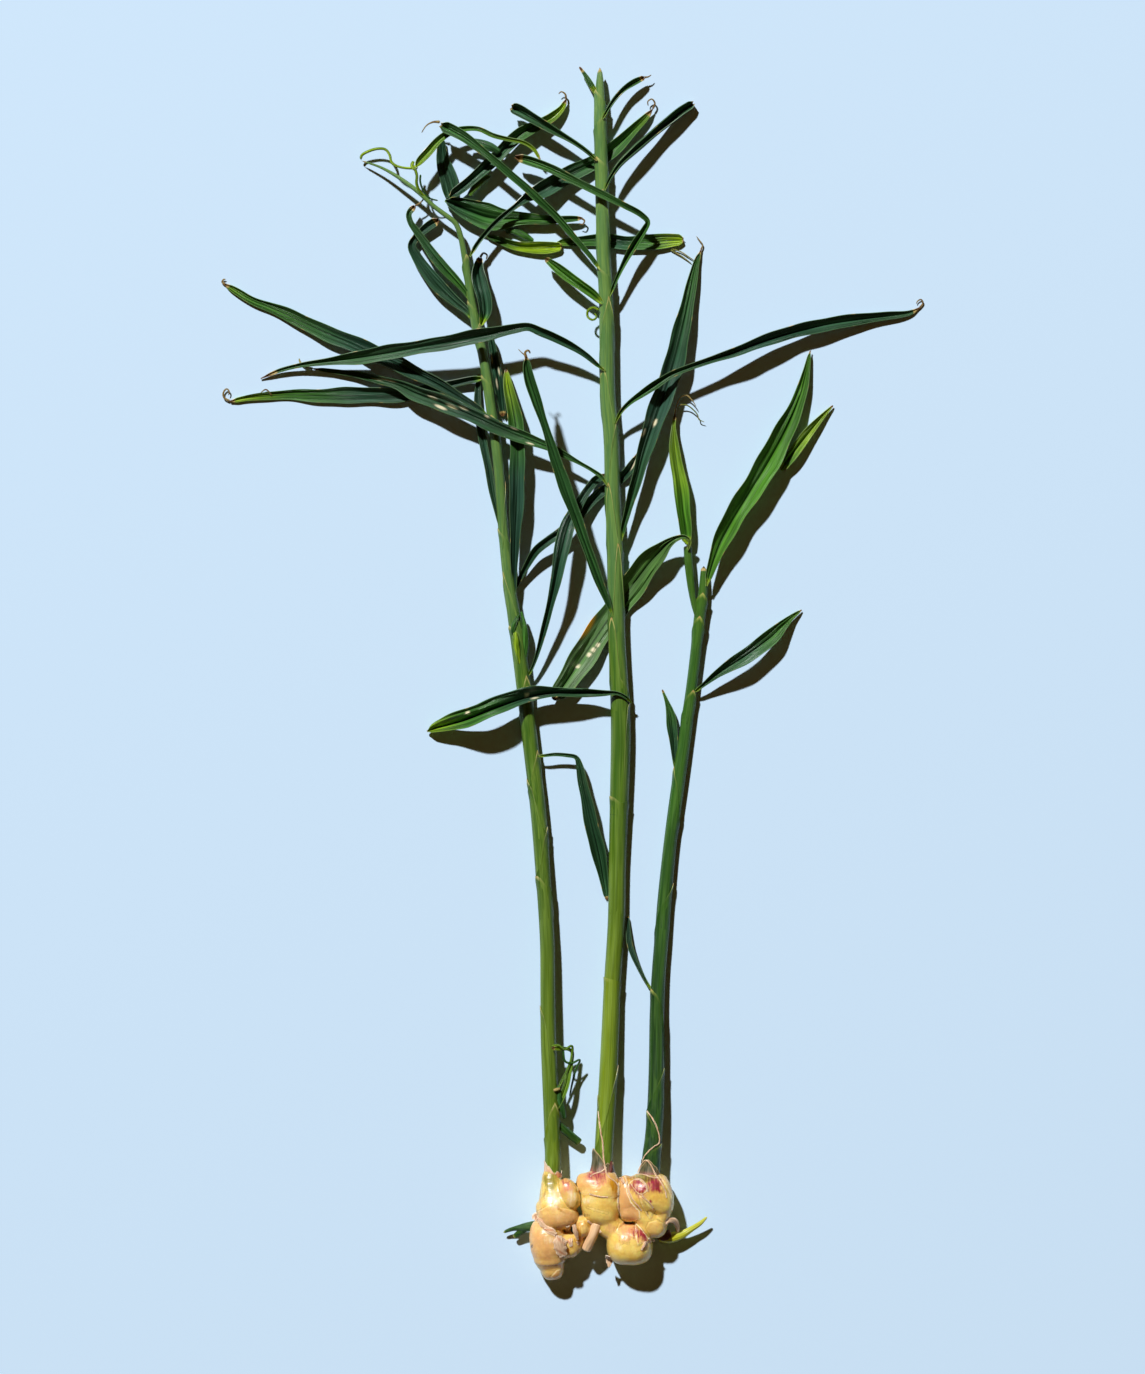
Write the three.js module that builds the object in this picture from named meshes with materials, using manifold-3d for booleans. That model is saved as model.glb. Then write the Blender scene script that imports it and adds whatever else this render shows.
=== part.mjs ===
// A whole young ginger plant, pulled and laid flat: a knobbly rhizome at one end, three leafy
// stems, and the leaves that grow from them. Millimetres, +Z up, the surface it lies on is z = 0,
// the stems run along +Y away from the rhizome.

import * as THREE from 'three';
import { mergeVertices } from 'three/addons/utils/BufferGeometryUtils.js';
import Module from 'manifold-3d';

const wasm = await Module();
wasm.setup();

// Driving dimensions, mm
const BLADE_THICKNESS = 1.0; // thickest part of a leaf's lens-shaped section
const ROLL_RATIO = 0.8; // height of a rolled leaf's section against its width
const GAP = 0.35; // left between pieces that touch
const LOBE_SINK = 1.5; // how far the rhizome's lobes are pressed into the surface and cut flat
const BLADE_STEP = 13; // distance between a leaf's sections
const STEM_STEP = 30; // distance between a stem's sections
const LOBE_SIDES = 12; // facets round a lobe of the rhizome
const LOBE_RINGS = 8; // facets from a lobe's one pole to the other
const COLLAR_WALL = 0.9; // thickness of the papery sheaths at the foot of each stem
const COLLAR_SIDES = 14;
const BIG = 400; // half size of the block below the surface

const COLOURS = {
  rhizome: 0xe0b060,
  stemPale: 0x7f9e3c,
  stemGreen: 0x4f7f34,
  leafDark: 0x24502e,
  papery: 0xc9884e,
  purple: 0x8c6a62,
  root: 0xd9a070,
  shoot: 0xc9c22e,
};

// Every route is a list of [x, y, z, width] points, hand-picked along the piece's middle line.

const STEM_ROUTES = {
  left: [
    [-13.2, -304, 13, 9], [-12.4, -292, 12.6, 9], [-13.4, -262, 11.6, 8.8], [-15, -220, 10.6, 8.8],
    [-15.4, -190, 10, 8.4], [-15.8, -160, 9, 8.3], [-18, -124, 7.2, 8.4], [-21.2, -82, 5.6, 8.8],
    [-25.4, -46, 5.4, 8.8], [-29.4, -12, 5.8, 8.4], [-33.4, 20, 6.8, 8.2], [-38.6, 54, 7.4, 6.4],
    [-42, 85, 8, 5.6], [-44.2, 116, 8.3, 5.6], [-46.7, 140, 8.5, 5.8], [-50.2, 164, 8.7, 5.6],
    [-54.2, 190, 8.8, 5.4], [-58, 206, 9, 5.2], [-61.2, 224, 9.4, 4.4], [-65, 248, 10.2, 4.2],
    [-67.5, 261, 11, 3.8], [-70.5, 269, 11.6, 3.6], [-76, 273.5, 12.2, 3.4], [-84, 279.5, 12.6, 3.2],
    [-92, 287, 12.8, 3.2], [-99, 292.5, 12.4, 3], [-107, 298, 11, 2.6], [-116, 303, 8, 2],
    [-127, 307, 4, 1.4],
  ],
  middle: [
    [17.6, -304, 13.4, 12], [17.8, -292, 12.6, 10.6], [19, -270, 10.6, 10.4], [20.6, -246, 8.6, 10.4],
    [22.2, -212, 6.6, 10], [23.4, -184, 5.8, 9.6], [25.6, -150, 5.2, 9.8], [26.2, -116, 5.2, 9.8],
    [27.4, -76, 5.8, 10.8], [28.3, -34, 6.2, 11.4], [27.2, -4, 6.8, 10.4], [26, 20, 7.2, 9.8],
    [25.3, 50, 7.2, 9.4], [24.6, 80, 7, 9.2], [23.4, 108, 7, 8.9], [22.6, 140, 7, 8.8],
    [20.7, 164, 7.4, 8.6], [20, 196, 7.8, 8.4], [19.5, 224, 8.4, 8.2], [18, 250, 8.8, 7.6],
    [17.2, 276, 9, 7.4], [16.8, 300, 9, 7.6], [15.9, 332, 8.6, 7], [15.8, 352, 8, 5.4],
    [15.8, 362.6, 7.6, 2.6],
  ],
  right: [
    [46.2, -304, 13.4, 11.4], [46.4, -292, 12.6, 10.8], [47.8, -278, 11.4, 9.8], [49.2, -258, 9.6, 9.4],
    [49.7, -232, 7.8, 8.6], [50, -204, 6.6, 8.2], [51.2, -178, 5.4, 7.9], [52.9, -158, 4.7, 8],
    [54.4, -138, 4.3, 8], [58.2, -100, 4, 7.3], [63.4, -62, 4, 7.4], [66.8, -38, 4, 7],
    [70.6, -10, 4.4, 6.2], [73.4, 14, 5, 6], [75.6, 34, 5.6, 6.4], [77.6, 50, 6, 5.8],
    [78, 64, 6.4, 3.6],
  ],
};

// Leaves of the left stem, from the rhizome upwards.
const LEFT_LEAVES = [
  { name: 'leaf_left_01', points: [
    [-11, -262, 12.5, 2], [-8, -256, 13, 3], [-4.6, -247, 12.4, 3.6], [-2.6, -238, 11.4, 3],
    [-1, -231, 10.6, 2], [-1, -226.4, 10.8, 1.8], [-4, -224.8, 12.4, 1.8], [-9, -224.4, 15.8, 2.2],
    [-13, -224, 17.4, 1.8]] },
  { name: 'leaf_left_02', points: [
    [-22, -50, 7.4, 1.6], [-17, -49.4, 8, 1.6], [-11, -48.7, 8, 1.9], [-4, -49.2, 7.6, 2.2],
    [1.6, -50.6, 7.4, 2.4], [3.6, -56, 7.8, 4], [5.4, -66, 8.4, 5.6], [8, -78, 8.4, 7],
    [11, -91, 7.4, 8.2], [14, -103, 6, 8.4], [16.4, -114, 4, 7], [18.2, -125, 2.2, 5],
    [20, -136, 1.1, 2.4]] },
  { name: 'leaf_left_03', points: [
    [-28, -3, 6.6, 1.6], [-24.4, 4, 8, 1.6], [-20, 17, 11, 2.8], [-16, 32, 14.6, 4], [-12.6, 46, 17.6, 5],
    [-9.8, 60, 19.6, 7], [-6.8, 74, 19.4, 8.6], [-3.6, 87, 16.6, 9], [0.4, 96, 13, 7],
    [4.6, 104, 9.4, 5.4], [9.4, 111, 6.4, 5], [14, 116, 3.6, 4.6], [19, 119, 1.6, 2.8]] },
  { name: 'leaf_left_04', points: [
    [-36.4, 40, 8, 1.8], [-35.7, 50, 8.6, 2.4], [-35.4, 64, 9.6, 4], [-35, 80, 11, 6], [-34.2, 98, 12.2, 8],
    [-33.6, 116, 12.6, 9], [-33.4, 132, 12, 9], [-34.6, 148, 10, 8.8], [-37, 162, 7.6, 7],
    [-39.2, 173, 5.6, 4.8], [-40.6, 183, 4, 1.6]] },
  { name: 'leaf_left_05', points: [
    [-38, 46, 4.4, 1.6], [-33, 55, 4.4, 2.4], [-27.4, 65, 6.4, 4], [-22, 73.6, 9, 5], [-15, 79.4, 10.4, 5.4],
    [-8, 84, 10.6, 5.6], [-1, 89.4, 9, 6], [6, 97.4, 6, 6], [13, 105, 3.4, 6], [20, 111, 1.4, 6],
    [26.6, 115.4, 1.4, 5.6], [32, 120.4, 2.8, 5.4], [35.6, 126, 4, 4.2], [38, 131.4, 4.4, 1.2]] },
  { name: 'leaf_left_06', points: [
    [-42.6, 84, 8.6, 1.6], [-45.6, 95, 8.6, 2.4], [-48.6, 108, 8.2, 3.6], [-51, 122, 7.6, 4.2],
    [-53.8, 137, 6.8, 4.4], [-56.4, 151, 5.4, 4.4], [-57.6, 165, 3.4, 3.8], [-57, 179, 1.6, 2]] },
  { name: 'leaf_left_07', points: [
    [-50.6, 153.4, 8.8, 2.4], [-58, 159, 9, 3.6], [-70, 166.4, 8.6, 5], [-82, 173.4, 8, 6.4],
    [-95, 180, 7, 8], [-108, 186.6, 6, 9.6], [-121, 192, 5, 9.8], [-134, 198, 4, 9.4], [-147, 203.4, 3, 9.2],
    [-160, 209.4, 2.2, 8.8], [-171, 214.6, 1.6, 7.6], [-182, 219.2, 1.2, 5.8], [-193, 223.6, 0.9, 4.2],
    [-203, 229.6, 0.8, 4], [-210, 233.8, 0.9, 2]] },
  { name: 'leaf_left_08', points: [
    [-53, 177, 5, 3.6], [-61, 175.6, 4.4, 4], [-71, 173.4, 3.2, 4.6], [-82, 171, 2, 5.6],
    [-95, 168, 1.2, 7.4], [-108, 166.4, 0.7, 8.6], [-122, 166.4, 0.6, 9.4], [-137, 166.4, 0.6, 9.4],
    [-151, 166.4, 0.6, 8.2], [-166, 166.8, 0.6, 6.6], [-181, 166.2, 0.7, 5], [-195, 165, 0.9, 3.4],
    [-206, 163, 1.2, 2.2]] },
  { name: 'leaf_left_09', points: [
    [-55.4, 208, 9.6, 2.4], [-53, 216, 10, 6.6], [-53.6, 224, 9.6, 8.4], [-55.6, 233, 8, 8.6],
    [-57, 241, 6.4, 6.4], [-56, 249, 5, 3]] },
  { name: 'leaf_left_10', points: [
    [-53.6, 207, 6.4, 1.8], [-50, 201, 7, 3.4], [-48, 193, 7, 5], [-46.6, 184, 6.6, 5.6],
    [-45, 174, 5.6, 5.6], [-43.6, 164, 4, 4.4], [-42.4, 154, 2.6, 3]] },
  { name: 'leaf_left_11', points: [
    [-59.4, 211, 9, 2.4], [-64, 216.6, 8.4, 4], [-70.4, 221.8, 7.4, 6], [-77, 228, 6, 7.6],
    [-83.4, 235, 5, 7.8], [-89, 242.4, 4.2, 7.4], [-94, 250, 3.6, 6], [-97, 256, 3.4, 4.6],
    [-94, 261.6, 3.6, 4.6], [-88, 267, 4, 5.4], [-81, 271.6, 4.6, 5]] },
  { name: 'leaf_left_12', points: [
    [-60.6, 222, 10, 2], [-66.4, 230, 11, 3.8], [-72, 236.4, 11.2, 5.6], [-78.4, 243.6, 10.6, 6],
    [-84.4, 250.8, 10, 5.8], [-89.4, 258, 9.6, 5], [-94, 264.4, 9.4, 4], [-97.8, 270, 9.2, 3.2],
    [-98.6, 275, 9.2, 3.2], [-95, 279.6, 8.8, 4]] },
  { name: 'leaf_left_13', points: [
    [-62, 249, 12.6, 2], [-58, 256, 12.8, 2.2], [-52, 263.6, 12.4, 2.6], [-44, 271.6, 12, 2.8],
    [-36, 278.2, 11.4, 3], [-28, 284.4, 10.4, 5.6], [-19, 289.2, 8.6, 9.4], [-9, 294.6, 6.2, 10],
    [1, 300.2, 4, 9.6], [11, 305.4, 2.6, 9.4], [21, 312, 2.4, 9], [30, 320, 2.6, 7.6], [37, 326.6, 2.8, 5.6],
    [43, 332.6, 3, 4], [47.4, 338, 3.4, 2]] },
  { name: 'leaf_left_14', points: [
    [-62.6, 276.6, 2.4, 2.6], [-55.4, 267, 2, 4.6], [-47.4, 260.4, 1.8, 5.2], [-38.4, 256.6, 1.8, 5.2],
    [-28, 254.8, 1.8, 5], [-17, 254.6, 2, 4.2], [-7, 255.6, 2.4, 2.4]] },
  { name: 'leaf_left_15', points: [
    [-77, 284.6, 5.4, 5], [-70, 281.8, 5.4, 9], [-60, 279, 5.4, 11], [-50, 276.6, 5.2, 11],
    [-40, 274, 5, 9.6],
    [-30, 272.2, 4.8, 7.6], [-20, 271.2, 4.8, 6], [-10, 271, 4.8, 5], [0, 272.2, 4.6, 3.6],
    [5.4, 272.6, 4.6, 1.6]] },
  { name: 'leaf_left_16', points: [
    [-74.6, 290, 1.4, 5], [-77.4, 297, 1.3, 8.6], [-80, 305, 1.3, 8.6], [-82, 312.4, 1.4, 4]] },
  { name: 'leaf_left_17', points: [
    [-72, 286.8, 8.6, 4], [-64, 294.4, 8.4, 6], [-56, 302, 8, 6.6], [-48, 309.6, 7.6, 6.4],
    [-40, 316.8, 7.2, 6.4], [-31, 323.8, 6.6, 6.6], [-21, 328.6, 5.6, 5.8], [-13, 333, 4.6, 4.6],
    [-7, 338.6, 3.8, 3], [-4.4, 344, 3.6, 1.6]] },
  { name: 'leaf_left_18', points: [
    [-93, 290.6, 16, 2], [-94.4, 297, 16, 2], [-93.4, 304, 15.4, 2.2], [-88, 311.4, 14.4, 3],
    [-81.4, 318.4, 13.2, 3.8], [-74, 323.4, 11.8, 3.8], [-65, 325.6, 11, 3.2], [-57, 325.2, 10.8, 2.4],
    [-48, 321.4, 11.2, 2], [-38, 319, 11, 1.8], [-30, 317.4, 10.8, 1.6], [-24, 313.6, 10, 1.4],
    [-20, 307.4, 8.8, 1.2]] },
  { name: 'leaf_left_19', points: [
    [-10, 258, 0.8, 3.4], [4, 259, 0.8, 5.6], [18, 259.2, 0.9, 7.6], [32, 257.8, 1.2, 8.6],
    [44, 258.4, 1.6, 9],
    [56, 259.4, 2, 8.4], [66, 259.6, 2.2, 6]] },
];

// Leaves of the middle stem, from the rhizome upwards.
const MIDDLE_LEAVES = [
  { name: 'leaf_middle_01', points: [
    [34.6, -18, 9, 1.8], [31.4, -14.6, 12.6, 1.8], [26, -12.2, 14.2, 2], [18, -12.2, 14, 3.4],
    [9, -12, 13, 4.6],
    [-1, -12, 12.4, 5.4], [-11, -11.8, 12.4, 6], [-20, -12.6, 12.8, 7.4], [-29, -14.4, 14.4, 8.8],
    [-38, -17, 17, 9.6], [-48, -20.4, 19.4, 10.6], [-58, -24.4, 18.6, 11.4], [-67, -27.8, 15, 10.8],
    [-76, -30.6, 10.4, 9], [-82.6, -32.6, 6.4, 6], [-87.6, -35, 2.6, 1.6]] },
  { name: 'leaf_middle_02', points: [
    [23.4, 34, 11.6, 2], [20.4, 42, 13.6, 3], [16.4, 52, 16, 4.6], [12, 64, 18.6, 5.2], [7.6, 76, 21.2, 5.6],
    [3, 88.6, 23.8, 6], [-1.4, 101, 26.2, 6.6], [-6, 114, 28.6, 7.2], [-10.6, 127, 31, 6.6],
    [-14.6, 139, 33.2, 5], [-18.4, 151, 35.6, 4.4], [-22, 162, 38, 5.6], [-25.4, 172.6, 40, 6.6],
    [-27.4, 181, 41.6, 5], [-28.2, 188.6, 42.6, 2.4]] },
  { name: 'leaf_middle_03', points: [
    [28.6, 79, 8.6, 2.2], [29.8, 87, 9, 3], [32.6, 97, 9.6, 4.2], [35.4, 107, 10.4, 5.6],
    [38.4, 118, 11.2, 6.8], [41.6, 130, 11.6, 8], [45.4, 142, 11.6, 9.8], [49.4, 153, 11.2, 11.6],
    [53.2, 164, 10.4, 12.6], [57, 175.4, 9.6, 12.4], [60.4, 187, 8.6, 11.8], [63.4, 199, 7.6, 10.6],
    [66.2, 211, 6.4, 9.2], [69, 224, 5, 7.6], [71.2, 236, 3.6, 5.6], [73.6, 246, 2.4, 3.6],
    [76.6, 254, 1.6, 1.4]] },
  { name: 'leaf_middle_04', points: [
    [20.4, 112, 11.6, 2.2], [17, 117, 12.4, 2.2], [11, 121.4, 13, 2], [4, 125.4, 13.4, 2.2],
    [-5, 130.2, 14, 3.6], [-14, 134.6, 14.6, 4.8], [-24, 138.6, 15, 6], [-35, 142.6, 15, 7.6],
    [-47, 147.6, 14.6, 8.6], [-59, 153.2, 13.8, 8.8], [-71, 158.2, 12.4, 9.4], [-83, 163.2, 10.6, 9.6],
    [-95, 167.8, 8.6, 9], [-105, 172.4, 6.8, 6], [-116, 175.4, 5, 5], [-128, 178.4, 3.6, 3.8],
    [-142, 180.8, 2.6, 2.6], [-156, 182.4, 2, 1.8]] },
  { name: 'leaf_middle_05', points: [
    [25, 149.6, 10.4, 2], [28, 155.6, 13, 2], [33.4, 161.4, 15.4, 2.8], [41, 166.8, 16.6, 4.2],
    [49, 172.4, 17, 4.6], [58, 178, 17, 3.8], [69, 182.4, 16.4, 3.4], [81, 186.6, 15.4, 4.2],
    [94, 191, 14, 5.2], [109, 196.8, 12, 6.4], [124, 201.8, 9.8, 7.4], [139, 206, 7.6, 8],
    [154, 209.4, 5.6, 8], [171, 212, 3.6, 6.4], [188, 214, 2, 4.8], [202, 216.2, 1, 3],
    [208, 219.4, 1, 1.4]] },
  { name: 'leaf_middle_06', points: [
    [19, 180.6, 11.8, 2.2], [14, 184.4, 13.4, 2.4], [7, 190, 15.6, 3.4], [-1, 195, 17.6, 4.2],
    [-10, 199.4, 19.4, 4.6], [-19, 203.4, 21, 5.2], [-27, 206.6, 22, 4.6], [-36, 205.2, 22, 5.8],
    [-46, 203, 22, 7.2], [-58, 200.6, 21.8, 8.2], [-72, 198, 21, 8.4], [-86, 195.6, 19.4, 8.2],
    [-100, 193.2, 17, 8.4], [-114, 190.8, 14.2, 8.8], [-126, 189, 11.6, 8], [-138, 187.6, 9, 6],
    [-150, 186.2, 6.8, 4], [-163, 184.4, 4.8, 2.8], [-176, 181.4, 2.8, 2.2], [-187.6, 176.6, 1.2, 1]] },
  { name: 'leaf_middle_07', points: [
    [17.6, 221, 11.6, 2.6], [12, 226, 12.8, 5], [5, 231, 13, 5.8], [-3, 237, 12, 6], [-10, 242.6, 10.6, 5.2],
    [-16.6, 248, 9, 3]] },
  { name: 'leaf_middle_08', points: [
    [21.4, 225, 11, 2], [25.4, 235, 12.4, 2], [31, 246.4, 12.8, 3.2], [37.4, 257.4, 13.2, 4.4],
    [42.6, 265.4, 14, 3.8], [44.4, 269.6, 15, 3], [40, 274, 16, 3.2], [31, 278.8, 16.8, 3.6],
    [20, 284.6, 17, 4], [9, 290, 16.4, 4.4], [-2, 295.6, 15, 4.8], [-13, 301, 13.4, 5.2],
    [-24, 305.4, 12.4, 5.4], [-35, 308.8, 11.6, 4]] },
  { name: 'leaf_middle_09', points: [
    [16, 241, 11.6, 2.2], [11, 248, 12.8, 2.4], [5, 255.2, 13, 3], [-3, 264.6, 13, 3.8],
    [-11, 273.6, 13.2, 4.2],
    [-20, 282, 14.6, 4.4], [-31, 292.2, 16, 4.4], [-42, 301.6, 17, 4.2], [-53, 310.6, 17.6, 4.6],
    [-64, 319, 17, 5.2], [-73, 325.2, 15.6, 6], [-79.6, 329.4, 14.4, 6]] },
  { name: 'leaf_middle_10', rolled: true, points: [
    [18.6, 288.6, 13.6, 2], [21.4, 295, 14, 2.4], [27, 303.6, 13.4, 3.4], [36, 312.4, 11.8, 4.2],
    [46, 321.2, 9.4, 4.8], [56, 329.8, 6.8, 5.2], [64, 336.6, 4.8, 5.6], [72, 341.6, 3.4, 4.6]] },
  { name: 'leaf_middle_11', rolled: true, points: [
    [14, 306.4, 12.8, 2], [9, 311, 13.4, 2.2], [2, 316.2, 13.4, 2.6], [-6, 321.2, 13, 3.4],
    [-15, 326.2, 12.6, 4.4], [-25, 332, 12, 5.4], [-32, 336, 11.4, 5.6], [-38, 338, 10.8, 4.4]] },
  { name: 'leaf_middle_12', rolled: true, points: [
    [17.4, 331.4, 11.8, 1.8], [20.4, 337, 11.8, 2], [24.6, 343.4, 10.6, 2.4], [30, 349.2, 9, 3],
    [36.4, 353.6, 7.4, 3.6], [42.4, 356.8, 6, 2.6]] },
  { name: 'leaf_middle_13', points: [
    [13.6, 347, 9, 2.6], [10.4, 352.4, 9, 3], [7, 358, 8, 2.2], [3.6, 363, 7, 1]] },
];

// Leaves of the right stem and of the side shoot near its top.
const RIGHT_LEAVES = [
  { name: 'leaf_right_01', points: [
    [46.8, -190, 4.6, 1.4], [43.4, -184.6, 4.8, 1.4], [39.4, -177.4, 5, 2], [36, -169.6, 5, 2.8],
    [33.6, -161.6, 4.2, 3], [32.8, -153, 3, 2.4], [32.6, -146, 2, 1.4]] },
  { name: 'leaf_right_02', points: [
    [61.2, -58, 4.4, 1.6], [60.4, -49, 4.2, 3], [60, -40, 4.2, 5], [59.2, -32, 4.2, 6], [58, -24, 4, 4.8],
    [55.6, -16.4, 3.4, 2.2], [53.2, -10, 2.8, 1]] },
  { name: 'leaf_right_03', points: [
    [72.4, -11.4, 5.6, 1.8], [78, -7, 7.6, 2.2], [85, -1.4, 9.4, 4.4], [93, 3.8, 10.6, 7], [102, 9.6, 11, 9],
    [111, 16, 10.2, 9.6], [118.4, 21.6, 8.4, 8.8], [125, 28, 5.8, 6.2], [131, 33.4, 3.4, 3.2],
    [136.8, 37.8, 1.6, 1]] },
  { name: 'leaf_right_04', points: [
    [68.4, 73.6, 9.8, 1.8], [69.6, 78.6, 11.8, 1.8], [66.4, 81.4, 13.4, 2.2], [61.4, 80.4, 14, 3.6],
    [56.4, 77.4, 13, 6.4], [51, 72, 11, 11], [45.6, 66, 8.6, 13.6], [39.4, 58, 5.4, 14.8],
    [33.4, 50, 2.6, 15],
    [26.8, 41, 0.9, 15], [20, 31, 0.9, 15.2], [13, 20.4, 2, 15.4], [6, 10, 3.4, 15], [-0.8, 0, 4.6, 13.8],
    [-7, -9, 5.4, 11.4], [-12, -16, 6, 7]] },
  { name: 'leaf_right_05', points: [
    [68.2, 77, 7, 4.4], [67.2, 86, 7.6, 7], [65.8, 96, 8, 8.4], [64.8, 106, 8, 8.6], [63.2, 117, 7.8, 7.8],
    [61.4, 128, 7.4, 6.8], [60.2, 138, 6.8, 5.2], [60, 147, 6, 2.6], [60.8, 155, 5.2, 1.4]] },
  { name: 'leaf_right_06', points: [
    [79.6, 52, 8.8, 2.6], [83, 65, 9.6, 6], [88, 78, 9.8, 9.4], [94.4, 90, 9.8, 11.6], [102, 102.6, 9.4, 13],
    [110, 115.6, 9, 13.8], [118, 129, 8.4, 13.6], [125.4, 142.4, 7.6, 12.4], [131.6, 155.6, 6.6, 10],
    [136.4, 168.6, 5.4, 7], [139.6, 181.4, 4, 4], [142, 193.4, 2.8, 1.2]] },
  { name: 'leaf_right_07', points: [
    [124.4, 121.6, 5.2, 4], [130, 129.6, 5, 6], [136.6, 138.4, 4.4, 6.6], [143.4, 147, 3.6, 5],
    [150, 154.6, 2.6, 3], [155.6, 160.4, 1.8, 1]] },
];

// The rhizome's lobes, knobs and buds: [x, y, z, half width, half length, half height, turn].
// The turn is about Z, in degrees.
const LOBES = [
  [-13, -307, 13.5, 5.6, 9, 7, 0], // neck below the left stem
  [-12, -315, 14, 8.5, 9, 11, 0],
  [-2.6, -311, 19.5, 5.6, 9.8, 7, 21], // pink-tipped bud
  [-10, -326, 14.5, 11.5, 9.5, 13, 0],
  [-19.6, -319, 15, 3, 4.4, 5, 0],
  [-14.5, -341, 13.5, 11.4, 13, 13, 0], // lower left finger
  [-12.7, -355.2, 11, 7.2, 8, 8.4, 0],
  [-1.5, -342, 14.5, 6, 7.8, 8, 0], // knob beside the finger
  [3, -335, 11, 5, 8, 9, 0],
  [15, -308.5, 14.5, 12, 9, 11.5, 0], // upper tier of the middle lobe
  [6, -304.5, 15.5, 4.5, 4.8, 6, 0],
  [16, -318.5, 14.5, 12.5, 11, 13.4, 0],
  [21, -332, 13, 8.5, 9, 11, 0],
  [8, -332, 15.5, 5.6, 7, 8, 0],
  [34, -340.5, 14, 13.2, 13, 13.6, 0], // lower right lobe
  [27, -343, 12.5, 7.5, 8.4, 10, 0],
  [40, -345, 13, 7.2, 8.8, 10, 0],
  [43, -312, 15, 14.5, 13.5, 14, 0], // lobe below the right stem
  [33.5, -313, 15.5, 6.5, 11.4, 10, 0],
  [52, -316, 14.5, 7.4, 10.8, 11.5, 0],
  [45, -323, 15, 10, 9, 11.5, 0],
  [49, -330.5, 15.5, 7.3, 7.2, 8.4, 0], // ringed knob
  [57.5, -327.5, 13, 4, 4.2, 6.4, 0],
];

// Small pieces round the rhizome.
const SHOOT_LEFT = [
  [-20, -330, 9, 5.4], [-25, -331.2, 8, 5.4], [-30, -332.4, 7, 4.8], [-35, -333.6, 5.8, 3.6],
  [-41, -335.8, 4.4, 1.2],
];
const SHOOT_RIGHT = [
  [51, -338, 7, 5], [56, -338.4, 7, 6.4], [61, -337.6, 7, 6], [66, -335.8, 7, 4.6], [71, -332.8, 7.4, 3.4],
  [76, -329.4, 8, 2.6], [80, -325.6, 8.6, 1.2],
];
const ROOT_STUB = [[14, -328.4, 18.6, 6], [11.4, -336, 18.4, 6], [7.2, -345.2, 15, 5.6]];
const CUT_STALK = [[-10.4, -269, 9.4, 4.4], [-5, -274, 8.4, 4.6], [4, -281.6, 5.4, 4.6]];
const SIDE_SHOOT = [
  [74, 33, 7.4, 2.4], [72, 42, 6.8, 3.4], [70.2, 54, 6.4, 4.6], [69, 66, 6.4, 5], [68.2, 76.4, 6.6, 4.6],
];
const SCALE_MIDDLE = [[0.4, -328, 23.4, 3], [2, -333, 23.8, 2.8], [3.4, -340, 21.6, 1.6]];
const SCALE_LEFT = [[-10, -333, 28.2, 4.4], [-5.6, -338, 26.4, 5.4], [-2, -344, 23.8, 3.6]];

// Papery sheaths: the stem they sit on, where they start and end along Y, and how far their foot
// and their lip stand off the stem.
const COLLARS = [
  { name: 'collar_left', stem: 'left', foot: -300.5, lip: -293, footRadius: 5.4, lipRadius: 5.3 },
  { name: 'collar_middle', stem: 'middle', foot: -301.5, lip: -287, footRadius: 8.6, lipRadius: 6.2 },
  { name: 'collar_right', stem: 'right', foot: -302, lip: -291, footRadius: 7.6, lipRadius: 6.4 },
];

// --- Shapes ---------------------------------------------------------------------------------

/** Sections of a route: centre, side and rise directions, width, every `step` mm or closer. */
function sections(points, step) {
  const curve = new THREE.CatmullRomCurve3(
    points.map(([x, y, z]) => new THREE.Vector3(x, y, z)),
    false,
    'centripetal',
  );
  const last = points.length - 1;
  const list = [];
  for (let i = 0; i < last; i++) {
    const [x0, y0, z0] = points[i];
    const [x1, y1, z1] = points[i + 1];
    const parts = Math.max(1, Math.round(Math.hypot(x1 - x0, y1 - y0, z1 - z0) / step));
    const stop = i === last - 1 ? parts : parts - 1;
    for (let k = 0; k <= stop; k++) {
      list.push((i + k / parts) / last);
    }
  }
  return list.map((u) => {
    const tangent = curve.getTangent(u);
    const side = new THREE.Vector3().crossVectors(tangent, new THREE.Vector3(0, 0, 1)).normalize();
    const rise = new THREE.Vector3().crossVectors(side, tangent).normalize();
    const place = Math.min(u * last, last - 1e-9);
    const i = Math.floor(place);
    const width = THREE.MathUtils.lerp(points[i][3], points[i + 1][3], place - i);
    return { centre: curve.getPoint(u), side, rise, width };
  });
}

/** A closed body through a route's sections; `outline(width)` gives one section's [side, rise]. */
function sweep(points, step, outline) {
  const rings = sections(points, step);
  const position = [];
  const index = [];
  let count = 0;
  for (const { centre, side, rise, width } of rings) {
    const flat = outline(width);
    count = flat.length;
    for (const [a, b] of flat) {
      const p = centre.clone().addScaledVector(side, a).addScaledVector(rise, b);
      position.push(p.x, p.y, p.z);
    }
  }
  for (let r = 0; r < rings.length - 1; r++) {
    for (let k = 0; k < count; k++) {
      const a = r * count + k;
      const b = r * count + ((k + 1) % count);
      index.push(a, a + count, b, b, a + count, b + count);
    }
  }
  const first = position.length / 3;
  for (const { centre } of [rings[0], rings[rings.length - 1]]) {
    position.push(centre.x, centre.y, centre.z);
  }
  const end = (rings.length - 1) * count;
  for (let k = 0; k < count; k++) {
    const next = (k + 1) % count;
    index.push(first, k, next);
    index.push(first + 1, end + next, end + k);
  }
  const geometry = new THREE.BufferGeometry();
  geometry.setAttribute('position', new THREE.Float32BufferAttribute(position, 3));
  geometry.setIndex(index);
  return geometry;
}

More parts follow.
